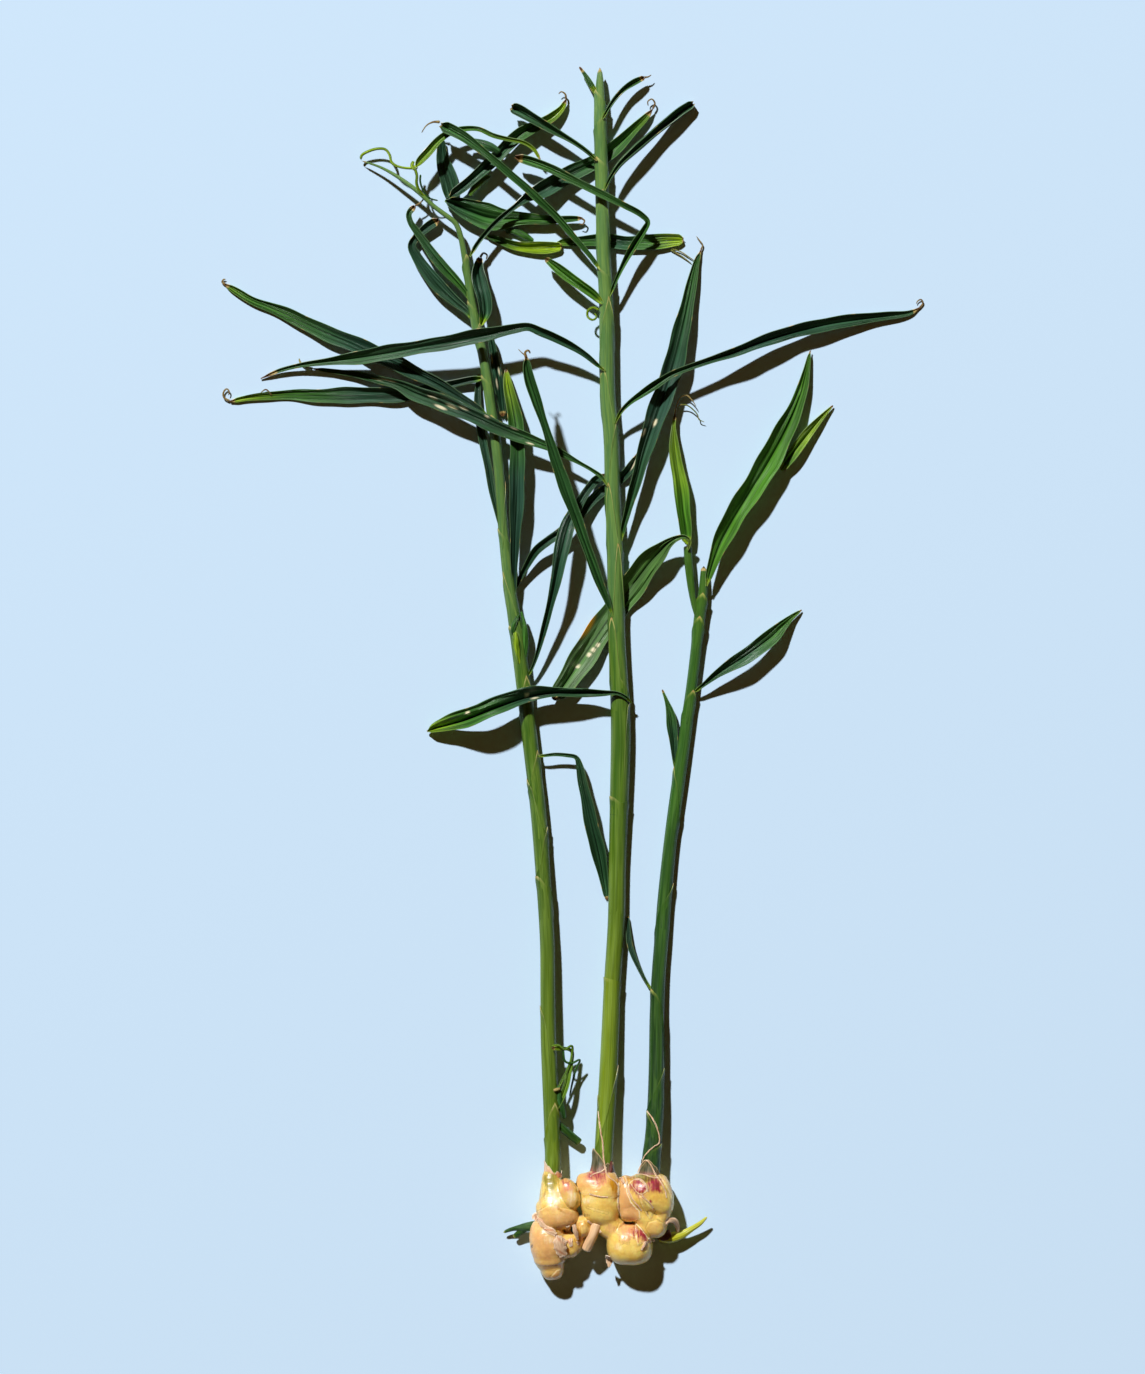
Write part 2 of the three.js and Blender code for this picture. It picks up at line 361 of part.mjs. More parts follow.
/** A round or oval outline with `sides` corners; `ratio` is height against width. */
function oval(sides, ratio, extra = 0) {
  return (width) =>
    Array.from({ length: sides }, (_, k) => {
      const angle = (2 * Math.PI * k) / sides;
      const radius = width / 2 + extra;
      return [radius * Math.cos(angle), radius * ratio * Math.sin(angle)];
    });
}

/** The lens-shaped outline of a leaf blade. */
function lens(width) {
  const half = width / 2;
  const rise = Math.min(BLADE_THICKNESS, width) / 2;
  return [[half, 0], [half / 2, rise], [-half / 2, rise], [-half, 0], [-half / 2, -rise], [half / 2, -rise]];
}

/** A geometry as a manifold-3d solid. */
function solidOf(geometry) {
  const bare = geometry.clone();
  bare.deleteAttribute('normal');
  bare.deleteAttribute('uv');
  const merged = mergeVertices(bare, 1e-4);
  return new wasm.Manifold(
    new wasm.Mesh({
      numProp: 3,
      vertProperties: new Float32Array(merged.attributes.position.array),
      triVerts: new Uint32Array(merged.index.array),
    }),
  );
}

/** A manifold-3d solid as a geometry. */
function geometryOf(solid) {
  const mesh = solid.getMesh();
  const geometry = new THREE.BufferGeometry();
  geometry.setAttribute('position', new THREE.Float32BufferAttribute(mesh.vertProperties, 3));
  geometry.setIndex(new THREE.Uint32BufferAttribute(mesh.triVerts, 1));
  return geometry;
}

/** The largest of a solid's separate bodies. */
function largest(solid) {
  return solid.decompose().reduce((best, body) => (body.volume() > best.volume() ? body : best));
}

/** The rhizome's lobes joined, each grown by `extra` mm, and cut flat at the surface. */
function rhizomeSolid(extra) {
  const lobes = LOBES.map(([x, y, z, a, b, c, turn]) => {
    const ball = new THREE.SphereGeometry(1, LOBE_SIDES, LOBE_RINGS);
    ball.scale(a + extra, b + extra, c + extra);
    ball.rotateZ(THREE.MathUtils.degToRad(turn));
    ball.translate(x, y, z - LOBE_SINK);
    return solidOf(ball);
  });
  const joined = lobes.reduce((sum, lobe) => sum.add(lobe));
  const below = new THREE.BoxGeometry(BIG * 2, BIG * 2, BIG);
  below.translate(0, 0, -BIG / 2);
  return joined.subtract(solidOf(below));
}

// --- Pieces ---------------------------------------------------------------------------------

const plant = new THREE.Group();

/** Adds one named piece. */
function add(name, geometry, colour, roughness = 0.5) {
  geometry.computeVertexNormals();
  const material = new THREE.MeshStandardMaterial({ color: colour, roughness, metalness: 0 });
  const mesh = new THREE.Mesh(geometry, material);
  mesh.name = name;
  plant.add(mesh);
}

const STEM_SIDES = 10;
const stemSolids = {};
const stemGrown = {};
for (const [key, route] of Object.entries(STEM_ROUTES)) {
  stemSolids[key] = solidOf(sweep(route, STEM_STEP, oval(STEM_SIDES, 1)));
  stemGrown[key] = solidOf(sweep(route, STEM_STEP, oval(STEM_SIDES, 1, GAP)));
}

// Rhizome
add('rhizome', geometryOf(rhizomeSolid(0)), COLOURS.rhizome, 0.45);
const rhizomeGrown = rhizomeSolid(GAP);

// Stems, each ending on the rhizome
for (const key of Object.keys(STEM_ROUTES)) {
  const colour = key === 'right' ? COLOURS.stemGreen : COLOURS.stemPale;
  add(`stem_${key}`, geometryOf(largest(stemSolids[key].subtract(rhizomeGrown))), colour);
}

// Papery sheaths round the foot of each stem
for (const { name, stem, foot, lip, footRadius, lipRadius } of COLLARS) {
  const [x, , z] = STEM_ROUTES[stem][1];
  const profile = [
    new THREE.Vector2(footRadius, foot),
    new THREE.Vector2(footRadius + COLLAR_WALL, foot),
    new THREE.Vector2(lipRadius + COLLAR_WALL, lip),
    new THREE.Vector2(lipRadius, lip),
    new THREE.Vector2(footRadius, foot),
  ];
  const ring = new THREE.LatheGeometry(profile, COLLAR_SIDES);
  ring.translate(x, 0, z);
  const solid = solidOf(ring).subtract(rhizomeGrown).subtract(stemGrown[stem]);
  add(name, geometryOf(largest(solid)), name === 'collar_left' ? COLOURS.papery : COLOURS.purple, 0.7);
}

/** A side piece whose foot is cut to sit on `neighbours` with the usual gap. */
function sidePiece(name, points, outline, neighbours, colour) {
  const body = neighbours.reduce(
    (solid, neighbour) => solid.subtract(neighbour),
    solidOf(sweep(points, BLADE_STEP, outline)),
  );
  add(name, geometryOf(largest(body)), colour);
}

const SIDE_SIDES = 8;
sidePiece('side_shoot_left', SHOOT_LEFT, oval(SIDE_SIDES, 0.8), [rhizomeGrown], COLOURS.stemGreen);
sidePiece('side_shoot_right', SHOOT_RIGHT, oval(SIDE_SIDES, 0.9), [rhizomeGrown], COLOURS.shoot);
sidePiece('root_stub', ROOT_STUB, oval(SIDE_SIDES, 1), [rhizomeGrown], COLOURS.root);
sidePiece('cut_stalk', CUT_STALK, oval(SIDE_SIDES, 0.8), [stemGrown.left], COLOURS.stemGreen);
sidePiece('side_shoot_top', SIDE_SHOOT, oval(SIDE_SIDES, 0.9), [stemGrown.right], COLOURS.stemGreen);
sidePiece('scale_middle', SCALE_MIDDLE, lens, [rhizomeGrown], COLOURS.papery);
sidePiece('scale_left', SCALE_LEFT, lens, [rhizomeGrown], COLOURS.papery);

// Leaves
const leafSets = [[LEFT_LEAVES, 'left'], [MIDDLE_LEAVES, 'middle'], [RIGHT_LEAVES, 'right']];
for (const [leaves, stem] of leafSets) {
  for (const { name, points, rolled } of leaves) {
    const outline = rolled ? oval(SIDE_SIDES, ROLL_RATIO) : lens;
    sidePiece(name, points, outline, [stemGrown[stem]], COLOURS.leafDark);
  }
}

export default plant;
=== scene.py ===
"""A whole young ginger plant lying flat: rhizome, three stems and their long narrow blades.

Lengths in the tables are millimetres in the plant's own frame: +Y runs from the rhizome along
the stems, +Z up from the surface. Angles round a stem are degrees, 0 on its +X side and 90 on top.
"""

import logging
import math
from dataclasses import dataclass
from enum import Enum

import bpy
import numpy as np
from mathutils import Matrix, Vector, noise


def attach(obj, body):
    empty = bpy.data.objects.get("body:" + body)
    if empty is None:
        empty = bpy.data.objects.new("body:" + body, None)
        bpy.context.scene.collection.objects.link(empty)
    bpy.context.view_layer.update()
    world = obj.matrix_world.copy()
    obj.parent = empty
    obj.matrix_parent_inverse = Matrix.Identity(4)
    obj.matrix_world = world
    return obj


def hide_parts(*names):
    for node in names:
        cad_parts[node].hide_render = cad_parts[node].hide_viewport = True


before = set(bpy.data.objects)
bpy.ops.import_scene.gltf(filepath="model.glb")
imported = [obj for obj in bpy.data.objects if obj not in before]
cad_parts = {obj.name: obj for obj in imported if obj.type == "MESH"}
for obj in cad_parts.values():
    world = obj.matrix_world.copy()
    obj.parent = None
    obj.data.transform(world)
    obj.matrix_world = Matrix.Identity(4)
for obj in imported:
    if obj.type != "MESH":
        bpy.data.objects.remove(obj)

MM = 0.001
BODY = "root"
FLOOR_CLEARANCE = 0.35  # lowest that a blade's middle surface may lie, mm
BLADE_WALL = 0.3  # how thick a real blade is, mm
SHEATH_WALL = 0.2
COLLAR_WALL = 0.22
FLAKE_WALL = 0.4
SEAM = 0.002  # points this close are joined where a sheet meets itself, mm
CURL_SEAM = 0.004
LOG = logging.getLogger("ginger")

Point = tuple[float, float, float, float]
Colour = tuple[float, float, float]


def smooth(value: np.ndarray | float, low: float, high: float) -> np.ndarray | float:
    """A smooth step from 0 at low to 1 at high."""
    share = np.clip((value - low) / (high - low), 0.0, 1.0)
    return share * share * (3 - 2 * share)


def linear(red: int, green: int, blue: int) -> Colour:
    """A colour given as 0 to 255 screen values, as linear light.

    Args:
        red: screen red.
        green: screen green.
        blue: screen blue.

    Returns:
        The linear colour.
    """
    def one(level: int) -> float:
        """One channel as linear light."""
        share = level / 255
        return share / 12.92 if share <= 0.04045 else ((share + 0.055) / 1.055) ** 2.4

    return one(red), one(green), one(blue)


class Route:
    """A smooth line through given points, with a width and a frame at each sample."""

    def __init__(self, points: list[Point], count: int) -> None:
        """Samples the line evenly.

        Args:
            points: (x, y, z, width) along the middle line, mm.
            count: how many samples.
        """
        knots = np.array(points, float)
        chords = np.sqrt(np.linalg.norm(np.diff(knots[:, :3], axis=0), axis=1)) + 1e-6
        marks = np.concatenate([[0.0], np.cumsum(chords)])
        fine = self._spline(knots, marks, np.linspace(0, marks[-1], count * 6))
        steps = np.linalg.norm(np.diff(fine[:, :3], axis=0), axis=1)
        travel = np.concatenate([[0.0], np.cumsum(steps)])
        self.length = float(travel[-1])
        self.travel = np.linspace(0, self.length, count)
        self.centre = np.stack([np.interp(self.travel, travel, fine[:, k]) for k in range(3)], axis=1)
        self.width = np.interp(self.travel, travel, fine[:, 3])
        tangent = np.gradient(self.centre, axis=0)
        self.tangent = tangent / np.linalg.norm(tangent, axis=1)[:, None]
        side = np.cross(self.tangent, [0.0, 0.0, 1.0])
        self.side = side / np.linalg.norm(side, axis=1)[:, None]
        self.rise = np.cross(self.side, self.tangent)

    @staticmethod
    def _spline(knots: np.ndarray, marks: np.ndarray, at: np.ndarray) -> np.ndarray:
        """Hermite curves through the knots, with centripetal spacing.

        Args:
            knots: one row for each point.
            marks: the spline parameter of each knot.
            at: parameters to sample.

        Returns:
            One row for each sample.
        """
        slopes = np.gradient(knots, marks, axis=0)
        index = np.clip(np.searchsorted(marks, at, side="right") - 1, 0, len(marks) - 2)
        span = (marks[index + 1] - marks[index])[:, None]
        t = ((at - marks[index])[:, None]) / span
        a, b = knots[index], knots[index + 1]
        ma, mb = slopes[index] * span, slopes[index + 1] * span
        rows = (2 * t**3 - 3 * t**2 + 1) * a + (t**3 - 2 * t**2 + t) * ma
        rows += (-2 * t**3 + 3 * t**2) * b + (t**3 - t**2) * mb
        low = np.minimum(a, b)[:, 3]
        high = np.maximum(a, b)[:, 3]
        rows[:, 3] = np.clip(rows[:, 3], low, high)
        return rows

    def travel_at(self, y: float) -> float:
        """The distance along the line, in mm, where it first reaches y."""
        return float(self.travel[int(np.argmax(self.centre[:, 1] >= y))])

    def place(self, travel: np.ndarray, across: np.ndarray, up: np.ndarray) -> np.ndarray:
        """Points given by their distance along, across and above the line.

        Args:
            travel: distance along, mm.
            across: distance to the side, mm.
            up: distance above, mm.

        Returns:
            One row of x, y, z for each point, mm.
        """
        def at(rows: np.ndarray) -> np.ndarray:
            """The line's own rows, read at each distance along it."""
            return np.stack([np.interp(travel, self.travel, rows[:, k]) for k in range(3)], axis=1)

        return at(self.centre) + at(self.side) * across[:, None] + at(self.rise) * up[:, None]


# --- Shader graphs --------------------------------------------------------------------------


class Graph:
    """Adds and joins shader nodes in one tree."""

    def __init__(self, tree: bpy.types.NodeTree) -> None:
        """Keeps the node tree of a material or a group."""
        self.tree = tree

    def add(self, kind: str, **settings: object) -> bpy.types.Node:
        """Adds a node and sets its properties.

        Args:
            kind: the node's type name without its ShaderNode prefix.
            settings: properties to set on it.

        Returns:
            The node.
        """
        node = self.tree.nodes.new("ShaderNode" + kind)
        for name, value in settings.items():
            setattr(node, name, value)
        return node

    def feed(self, socket: bpy.types.NodeSocket, value: object) -> None:
        """Links a socket to an input, or sets it as a constant.

        Args:
            socket: the input.
            value: an output socket or a constant.
        """
        if isinstance(value, bpy.types.NodeSocket):
            self.tree.links.new(value, socket)
        elif isinstance(value, tuple) and len(value) == 3 and socket.type == "RGBA":
            socket.default_value = (*value, 1.0)
        else:
            socket.default_value = value

    def math(
        self, operation: str, a: object, b: object = 0.0, clamp: bool = False,
    ) -> bpy.types.NodeSocket:
        """One step of arithmetic.

        Args:
            operation: a Math node's operation.
            a: first value.
            b: second value.
            clamp: keep the result between 0 and 1.

        Returns:
            The result.
        """
        node = self.add("Math", operation=operation, use_clamp=clamp)
        self.feed(node.inputs[0], a)
        self.feed(node.inputs[1], b)
        return node.outputs[0]

    def mix(self, share: object, a: object, b: object, blend: str = "MIX") -> bpy.types.NodeSocket:
        """A mix of two colours.

        Args:
            share: how much of b.
            a: first colour.
            b: second colour.
            blend: how they mix.

        Returns:
            The colour.
        """
        node = self.add("Mix", data_type="RGBA", blend_type=blend)
        self.feed(node.inputs[0], share)
        self.feed(node.inputs[6], a)
        self.feed(node.inputs[7], b)
        return node.outputs[2]

    def between(self, value: object, low: object, high: object) -> bpy.types.NodeSocket:
        """A smooth mask that is 0 below low and 1 above high.

        Args:
            value: what to map.
            low: where the mask starts.
            high: where it is full.

        Returns:
            The mask.
        """
        node = self.add("MapRange", interpolation_type="SMOOTHSTEP")
        self.feed(node.inputs[0], value)
        self.feed(node.inputs[1], low)
        self.feed(node.inputs[2], high)
        return node.outputs[0]

    def noise(self, vector: object, scale: object, detail: float = 3.0) -> bpy.types.NodeSocket:
        """A noise value.

        Args:
            vector: where to read it.
            scale: its scale.
            detail: its octaves.

        Returns:
            The value.
        """
        node = self.add("TexNoise")
        self.feed(node.inputs["Vector"], vector)
        self.feed(node.inputs["Scale"], scale)
        self.feed(node.inputs["Detail"], detail)
        return node.outputs[0]

    def attribute(self, name: str) -> bpy.types.NodeSocket:
        """A value stored on the mesh's points under a name."""
        return self.add("Attribute", attribute_name=name).outputs["Fac"]


class Groups:
    """The shader node groups that the finishes share, each built once."""

    def __init__(self) -> None:
        """Builds every group."""
        self.streaks = self._streaks()
        self.blotches = self._blotches()
        self.dry = self._dry()
        self.rim = self._rim()

    @staticmethod
    def _start(name: str, inputs: dict[str, tuple[str, object]], outputs: dict[str, str]) -> tuple:
        """An empty group with its sockets.

        Args:
            name: the group's name.
            inputs: socket type and default by name.
            outputs: socket type by name.

        Returns:
            The tree, its graph, its input node and its output node.
        """
        tree = bpy.data.node_groups.new(name, "ShaderNodeTree")
        for label, (kind, value) in inputs.items():
            socket = tree.interface.new_socket(label, in_out="INPUT", socket_type=kind)
            socket.default_value = value
        for label, kind in outputs.items():
            tree.interface.new_socket(label, in_out="OUTPUT", socket_type=kind)
        into = tree.nodes.new("NodeGroupInput")
        out = tree.nodes.new("NodeGroupOutput")
        return tree, Graph(tree), into, out

    def _streaks(self) -> bpy.types.NodeTree:
        """Lengthwise fibres and veins, read from a piece's own UV map; on blades they also place a painted
        sheen.
        """
        inputs = {"Across": ("NodeSocketFloat", 14.0), "Along": ("NodeSocketFloat", 1.6)}
        outputs = {"Broad": "NodeSocketFloat", "Fine": "NodeSocketFloat"}
        tree, graph, into, out = self._start("lengthwise_streaks", inputs, outputs)
        uv = graph.add("UVMap", uv_map="UVMap").outputs[0]
        for label, share in (("Broad", 1.0), ("Fine", 5.5)):
            scale = graph.add("CombineXYZ")
            graph.feed(scale.inputs[0], graph.math("MULTIPLY", into.outputs["Across"], share))
            graph.feed(scale.inputs[1], into.outputs["Along"])
            spread = graph.add("VectorMath", operation="MULTIPLY")
            graph.feed(spread.inputs[0], uv)
            graph.feed(spread.inputs[1], scale.outputs[0])
            value = graph.noise(spread.outputs[0], 1.0, 2.0)
            graph.feed(out.inputs[label], graph.between(value, 0.34, 0.66))
        return tree

    def _blotches(self) -> bpy.types.NodeTree:
        """Soft irregular patches in the object's own space."""
        inputs = {
            "Scale": ("NodeSocketFloat", 60.0),
            "Low": ("NodeSocketFloat", 0.45),
            "High": ("NodeSocketFloat", 0.65),
        }
        tree, graph, into, out = self._start("blotches", inputs, {"Mask": "NodeSocketFloat"})
        place = graph.add("TexCoord").outputs["Object"]
        value = graph.noise(place, into.outputs["Scale"], 4.0)
        graph.feed(out.inputs[0], graph.between(value, into.outputs["Low"], into.outputs["High"]))
        return tree

    def _dry(self) -> bpy.types.NodeTree:
        """Browning: tan, then brown, where a piece's dry attribute is high."""
        inputs = {
            "Colour": ("NodeSocketColor", (0.1, 0.3, 0.1, 1.0)),
            "Dry": ("NodeSocketFloat", 0.0),
            "Scale": ("NodeSocketFloat", 420.0),
        }
        tree, graph, into, out = self._start("dry_edges", inputs, {"Colour": "NodeSocketColor"})
        place = graph.add("TexCoord").outputs["Object"]
        grain = graph.noise(place, into.outputs["Scale"], 3.0)
        amount = graph.math("ADD", into.outputs["Dry"], graph.math("MULTIPLY", grain, 0.5))
        tan = graph.between(amount, 0.62, 0.86)
        brown = graph.between(amount, 0.95, 1.3)
        colour = graph.mix(tan, into.outputs["Colour"], linear(196, 172, 104))
        graph.feed(out.inputs[0], graph.mix(brown, colour, linear(116, 80, 40)))
        return tree

    def _rim(self) -> bpy.types.NodeTree:
        """Masks for a blade's thin pale margin and its midrib, from its UV map."""
        outputs = {"Margin": "NodeSocketFloat", "Midrib": "NodeSocketFloat"}
        tree, graph, _, out = self._start("margin_and_midrib", {}, outputs)
        uv = graph.add("UVMap", uv_map="UVMap").outputs[0]
        across = graph.add("SeparateXYZ")
        graph.feed(across.inputs[0], uv)
        off = graph.math("ABSOLUTE", graph.math("SUBTRACT", across.outputs[0], 0.5))
        graph.feed(out.inputs["Margin"], graph.between(off, 0.455, 0.5))
        graph.feed(out.inputs["Midrib"], graph.between(off, 0.035, 0.008))
        return tree

    def use(self, graph: Graph, tree: bpy.types.NodeTree, **values: object) -> bpy.types.Node:
        """Places a group in a graph.

        Args:
            graph: where.
            tree: the group.
            values: its inputs by name.

        Returns:
            The group node.
        """
        node = graph.add("Group")
        node.node_tree = tree
        for name, value in values.items():
            graph.feed(node.inputs[name], value)
        return node


# --- Finishes -------------------------------------------------------------------------------


@dataclass(frozen=True)
class Finish:
    """What every finish has: a name, a slot in the record and the shader's plain values."""

    name: str
    slot: str
    roughness: float
    coat: float

    def start(self) -> tuple[bpy.types.Material, Graph, bpy.types.Node]:
        """A new material with its shader's constants set.

        Returns:
            The material, its graph and its Principled BSDF.
        """
        material = bpy.data.materials.new(self.name)
        material.use_nodes = True
        graph = Graph(material.node_tree)
        shader = material.node_tree.nodes["Principled BSDF"]
        shader.inputs["Roughness"].default_value = self.roughness
        shader.inputs["Coat Weight"].default_value = self.coat
        shader.inputs["Coat Roughness"].default_value = 0.3
        return material, graph, shader

    def bump(self, graph: Graph, shader: bpy.types.Node, height: object, distance: float) -> None:
        """Adds fine relief to a shader.

        Args:
            graph: the material's graph.
            shader: its Principled BSDF.
            height: the relief, from 0 to 1.
            distance: its depth in metres.
        """
        node = graph.add("Bump")
        node.inputs["Distance"].default_value = distance
        node.inputs["Strength"].default_value = 1.0
        graph.feed(node.inputs["Height"], height)
        graph.feed(shader.inputs["Normal"], node.outputs[0])

    def rough(self, graph: Graph, shader: bpy.types.Node, mask: object, low: float, high: float) -> None:
        """Varies the roughness with a mask.

        Args:
            graph: the material's graph.
            shader: its Principled BSDF.
            mask: from 0 to 1.
            low: roughness where the mask is 0.
            high: roughness where it is 1.
        """
        node = graph.add("MapRange")
        graph.feed(node.inputs[0], mask)
        node.inputs[3].default_value = low
        node.inputs[4].default_value = high
        graph.feed(shader.inputs["Roughness"], node.outputs[0])


@dataclass(frozen=True)
class BladeFinish(Finish):
    """A leaf blade: dark bluish green to lime by its tone, with vein streaks that carry a painted bluish
    sheen, pale margins and dry tips.
    """

    dark: Colour
    middle: Colour
    lime: Colour
    pale: Colour
    midrib: Colour

    def build(self, groups: Groups) -> bpy.types.Material:
        """Makes the material.

        Args:
            groups: the shared node groups.

        Returns:
            The material.
        """
        material, graph, shader = self.start()
        tone = graph.attribute("tone")
        streaks = groups.use(graph, groups.streaks, Across=5.5, Along=1.6)
        rim = groups.use(graph, groups.rim)
        patch = groups.use(graph, groups.blotches, Scale=38.0, Low=0.42, High=0.62).outputs[0]
        colour = graph.mix(graph.between(tone, 0.0, 0.5), self.dark, self.middle)
        colour = graph.mix(graph.between(tone, 0.5, 1.0), colour, self.lime)
        # lighter is a painted bluish sheen: the broad streaks run from darker green to this painted sheen,
        # and the fine streaks add more painted sheen
        lighter = graph.mix(1.0, colour, (2.3, 1.85, 2.5), "MULTIPLY")
        deeper = graph.mix(1.0, colour, (0.34, 0.42, 0.36), "MULTIPLY")
        colour = graph.mix(streaks.outputs["Broad"], deeper, lighter)
        fine = graph.math("MULTIPLY", streaks.outputs["Fine"], 0.35)
        colour = graph.mix(fine, colour, lighter)
        colour = graph.mix(graph.math("MULTIPLY", patch, 0.3), colour, deeper)
        colour = graph.mix(graph.math("MULTIPLY", graph.attribute("back"), 0.75), colour, self.pale)
        colour = graph.mix(graph.math("MULTIPLY", rim.outputs["Margin"], 0.45), colour, self.pale)
        colour = graph.mix(graph.math("MULTIPLY", rim.outputs["Midrib"], 0.8), colour, self.midrib)
        colour = graph.mix(graph.attribute("scorch"), colour, linear(240, 172, 34))
        colour = groups.use(graph, groups.dry, Colour=colour, Dry=graph.attribute("dry")).outputs[0]
        bleached = graph.mix(graph.attribute("bleach"), colour, linear(232, 222, 186))
        graph.feed(shader.inputs["Base Color"], bleached)
        self.rough(graph, shader, streaks.outputs["Fine"], self.roughness - 0.07, self.roughness + 0.1)
        broad = graph.math("MULTIPLY", streaks.outputs["Broad"], 0.6)
        height = graph.math("ADD", broad, streaks.outputs["Fine"])
        self.bump(graph, shader, height, 0.00022)
        return material


@dataclass(frozen=True)
class StemFinish(Finish):
    """Leaf sheaths round a stem: ribbed, green changing along the stem, pale thin lips."""

    foot: Colour
    middle: Colour
    top: Colour
    rib: Colour
    lip: Colour

    def build(self, groups: Groups) -> bpy.types.Material:
        """Makes the material.

        Args:
            groups: the shared node groups.

        Returns:
            The material.
        """
        material, graph, shader = self.start()
        along = graph.add("SeparateXYZ")
        graph.feed(along.inputs[0], graph.add("TexCoord").outputs["Object"])
        streaks = groups.use(graph, groups.streaks, Across=13.0, Along=2.6)
        patch = groups.use(graph, groups.blotches, Scale=26.0, Low=0.4, High=0.64).outputs[0]
        colour = graph.mix(graph.between(along.outputs[1], -0.2, -0.06), self.foot, self.middle)
        colour = graph.mix(graph.between(along.outputs[1], -0.02, 0.08), colour, self.top)
        deeper = graph.mix(1.0, colour, (0.3, 0.46, 0.3), "MULTIPLY")
        lighter = graph.mix(1.0, colour, (1.5, 1.35, 1.7), "MULTIPLY")
        high = graph.math("MULTIPLY", graph.between(along.outputs[1], 0.12, 0.28), 0.4)
        colour = graph.mix(graph.attribute("tone"), deeper, lighter)
        colour = graph.mix(high, colour, lighter)
        colour = graph.mix(graph.math("MULTIPLY", streaks.outputs["Broad"], 0.34), colour, self.rib)
        colour = graph.mix(graph.math("MULTIPLY", patch, 0.2), colour, deeper)
        colour = graph.mix(graph.math("MULTIPLY", streaks.outputs["Fine"], 0.35), colour, deeper)
        colour = graph.mix(graph.attribute("shade"), colour, deeper)
        colour = graph.mix(graph.attribute("lip"), colour, self.lip)
        colour = groups.use(graph, groups.dry, Colour=colour, Dry=graph.attribute("dry")).outputs[0]
        graph.feed(shader.inputs["Base Color"], colour)
        self.rough(graph, shader, streaks.outputs["Fine"], self.roughness - 0.06, self.roughness + 0.1)
        self.bump(graph, shader, streaks.outputs["Fine"], 0.00012)
        return material


@dataclass(frozen=True)
class SkinFinish(Finish):
    """The rhizome's skin: yellow where young, tinted where it is older, dried or near a bud, with painted
    shade in its creases and gaps and painted highlights on its lobes.
    """

    young: Colour
    tints: tuple[tuple[str, Colour], ...]  # attribute and colour, laid over each other in order

    def build(self, groups: Groups) -> bpy.types.Material:
        """Makes the material.

        Args:
            groups: the shared node groups.

        Returns:
            The material.
        """
        material, graph, shader = self.start()
        shader.inputs["Subsurface Weight"].default_value = 0.5
        shader.inputs["Subsurface Radius"].default_value = (1.0, 0.6, 0.25)
        shader.inputs["Subsurface Scale"].default_value = 0.006
        place = graph.add("TexCoord").outputs["Object"]
        grain = graph.noise(place, 700.0, 3.0)
        cloud = graph.noise(place, 170.0, 4.0)
        patch = groups.use(graph, groups.blotches, Scale=330.0, Low=0.5, High=0.62).outputs[0]
        deeper = graph.mix(1.0, self.young, (0.9, 0.8, 0.6), "MULTIPLY")
        colour = graph.mix(graph.between(cloud, 0.4, 0.66), self.young, deeper)
        for name, tint in self.tints:
            share = graph.math("MULTIPLY", graph.attribute(name), graph.math("ADD", cloud, 0.55))
            colour = graph.mix(graph.between(share, 0.1, 1.15), colour, tint)
        light = graph.mix(1.0, colour, (1.2, 1.3, 1.5), "MULTIPLY")
        colour = graph.mix(graph.math("MULTIPLY", patch, 0.4), colour, light)
        graph.feed(shader.inputs["Base Color"], colour)
        self.rough(graph, shader, grain, self.roughness - 0.12, self.roughness + 0.12)
        squash = graph.add("Mapping")
        squash.inputs["Scale"].default_value = (1.0, 5.0, 1.0)
        graph.feed(squash.inputs["Vector"], place)
        rings = graph.noise(squash.outputs[0], 150.0, 3.0)
        height = graph.math("ADD", graph.math("MULTIPLY", grain, 0.5), graph.math("MULTIPLY", rings, 0.9))
        self.bump(graph, shader, height, 0.00022)
        return material


@dataclass(frozen=True)
class PaperFinish(Finish):
    """A thin dry scale or sheath: fibrous, paler at its torn edge."""

    body: Colour
    dark: Colour
    edge: Colour
    tint: Colour

    def build(self, groups: Groups) -> bpy.types.Material:
        """Makes the material.

        Args:
            groups: the shared node groups.

        Returns:
            The material.
        """
        material, graph, shader = self.start()
        streaks = groups.use(graph, groups.streaks, Across=9.0, Along=1.3)
        patch = groups.use(graph, groups.blotches, Scale=200.0, Low=0.4, High=0.62).outputs[0]
        colour = graph.mix(graph.math("MULTIPLY", streaks.outputs["Broad"], 0.6), self.body, self.dark)
        colour = graph.mix(graph.math("MULTIPLY", streaks.outputs["Fine"], 0.2), colour, self.edge)
        foot = graph.math("MULTIPLY", graph.attribute("foot"), graph.math("ADD", patch, 0.45), clamp=True)
        colour = graph.mix(foot, colour, self.tint)
        colour = graph.mix(graph.attribute("lip"), colour, self.edge)
        graph.feed(shader.inputs["Base Color"], colour)
        self.rough(graph, shader, patch, self.roughness - 0.1, self.roughness + 0.12)
        self.bump(graph, shader, streaks.outputs["Broad"], 0.00025)
        return material


class FinishName(Enum):
    """Every finish that a piece can have."""

    BLADE = "leaf_dark"
    YOUNG_BLADE = "leaf_young"
    STEM_PALE = "stem_pale"
    STEM_GREEN = "stem_green"
    SKIN = "rhizome_skin"
    PAPER = "papery_sheath"
    PURPLE = "purple_sheath"
    SHOOT = "young_shoot"
    HOLLOW = "shoot_hollow"
    ROOT = "root"


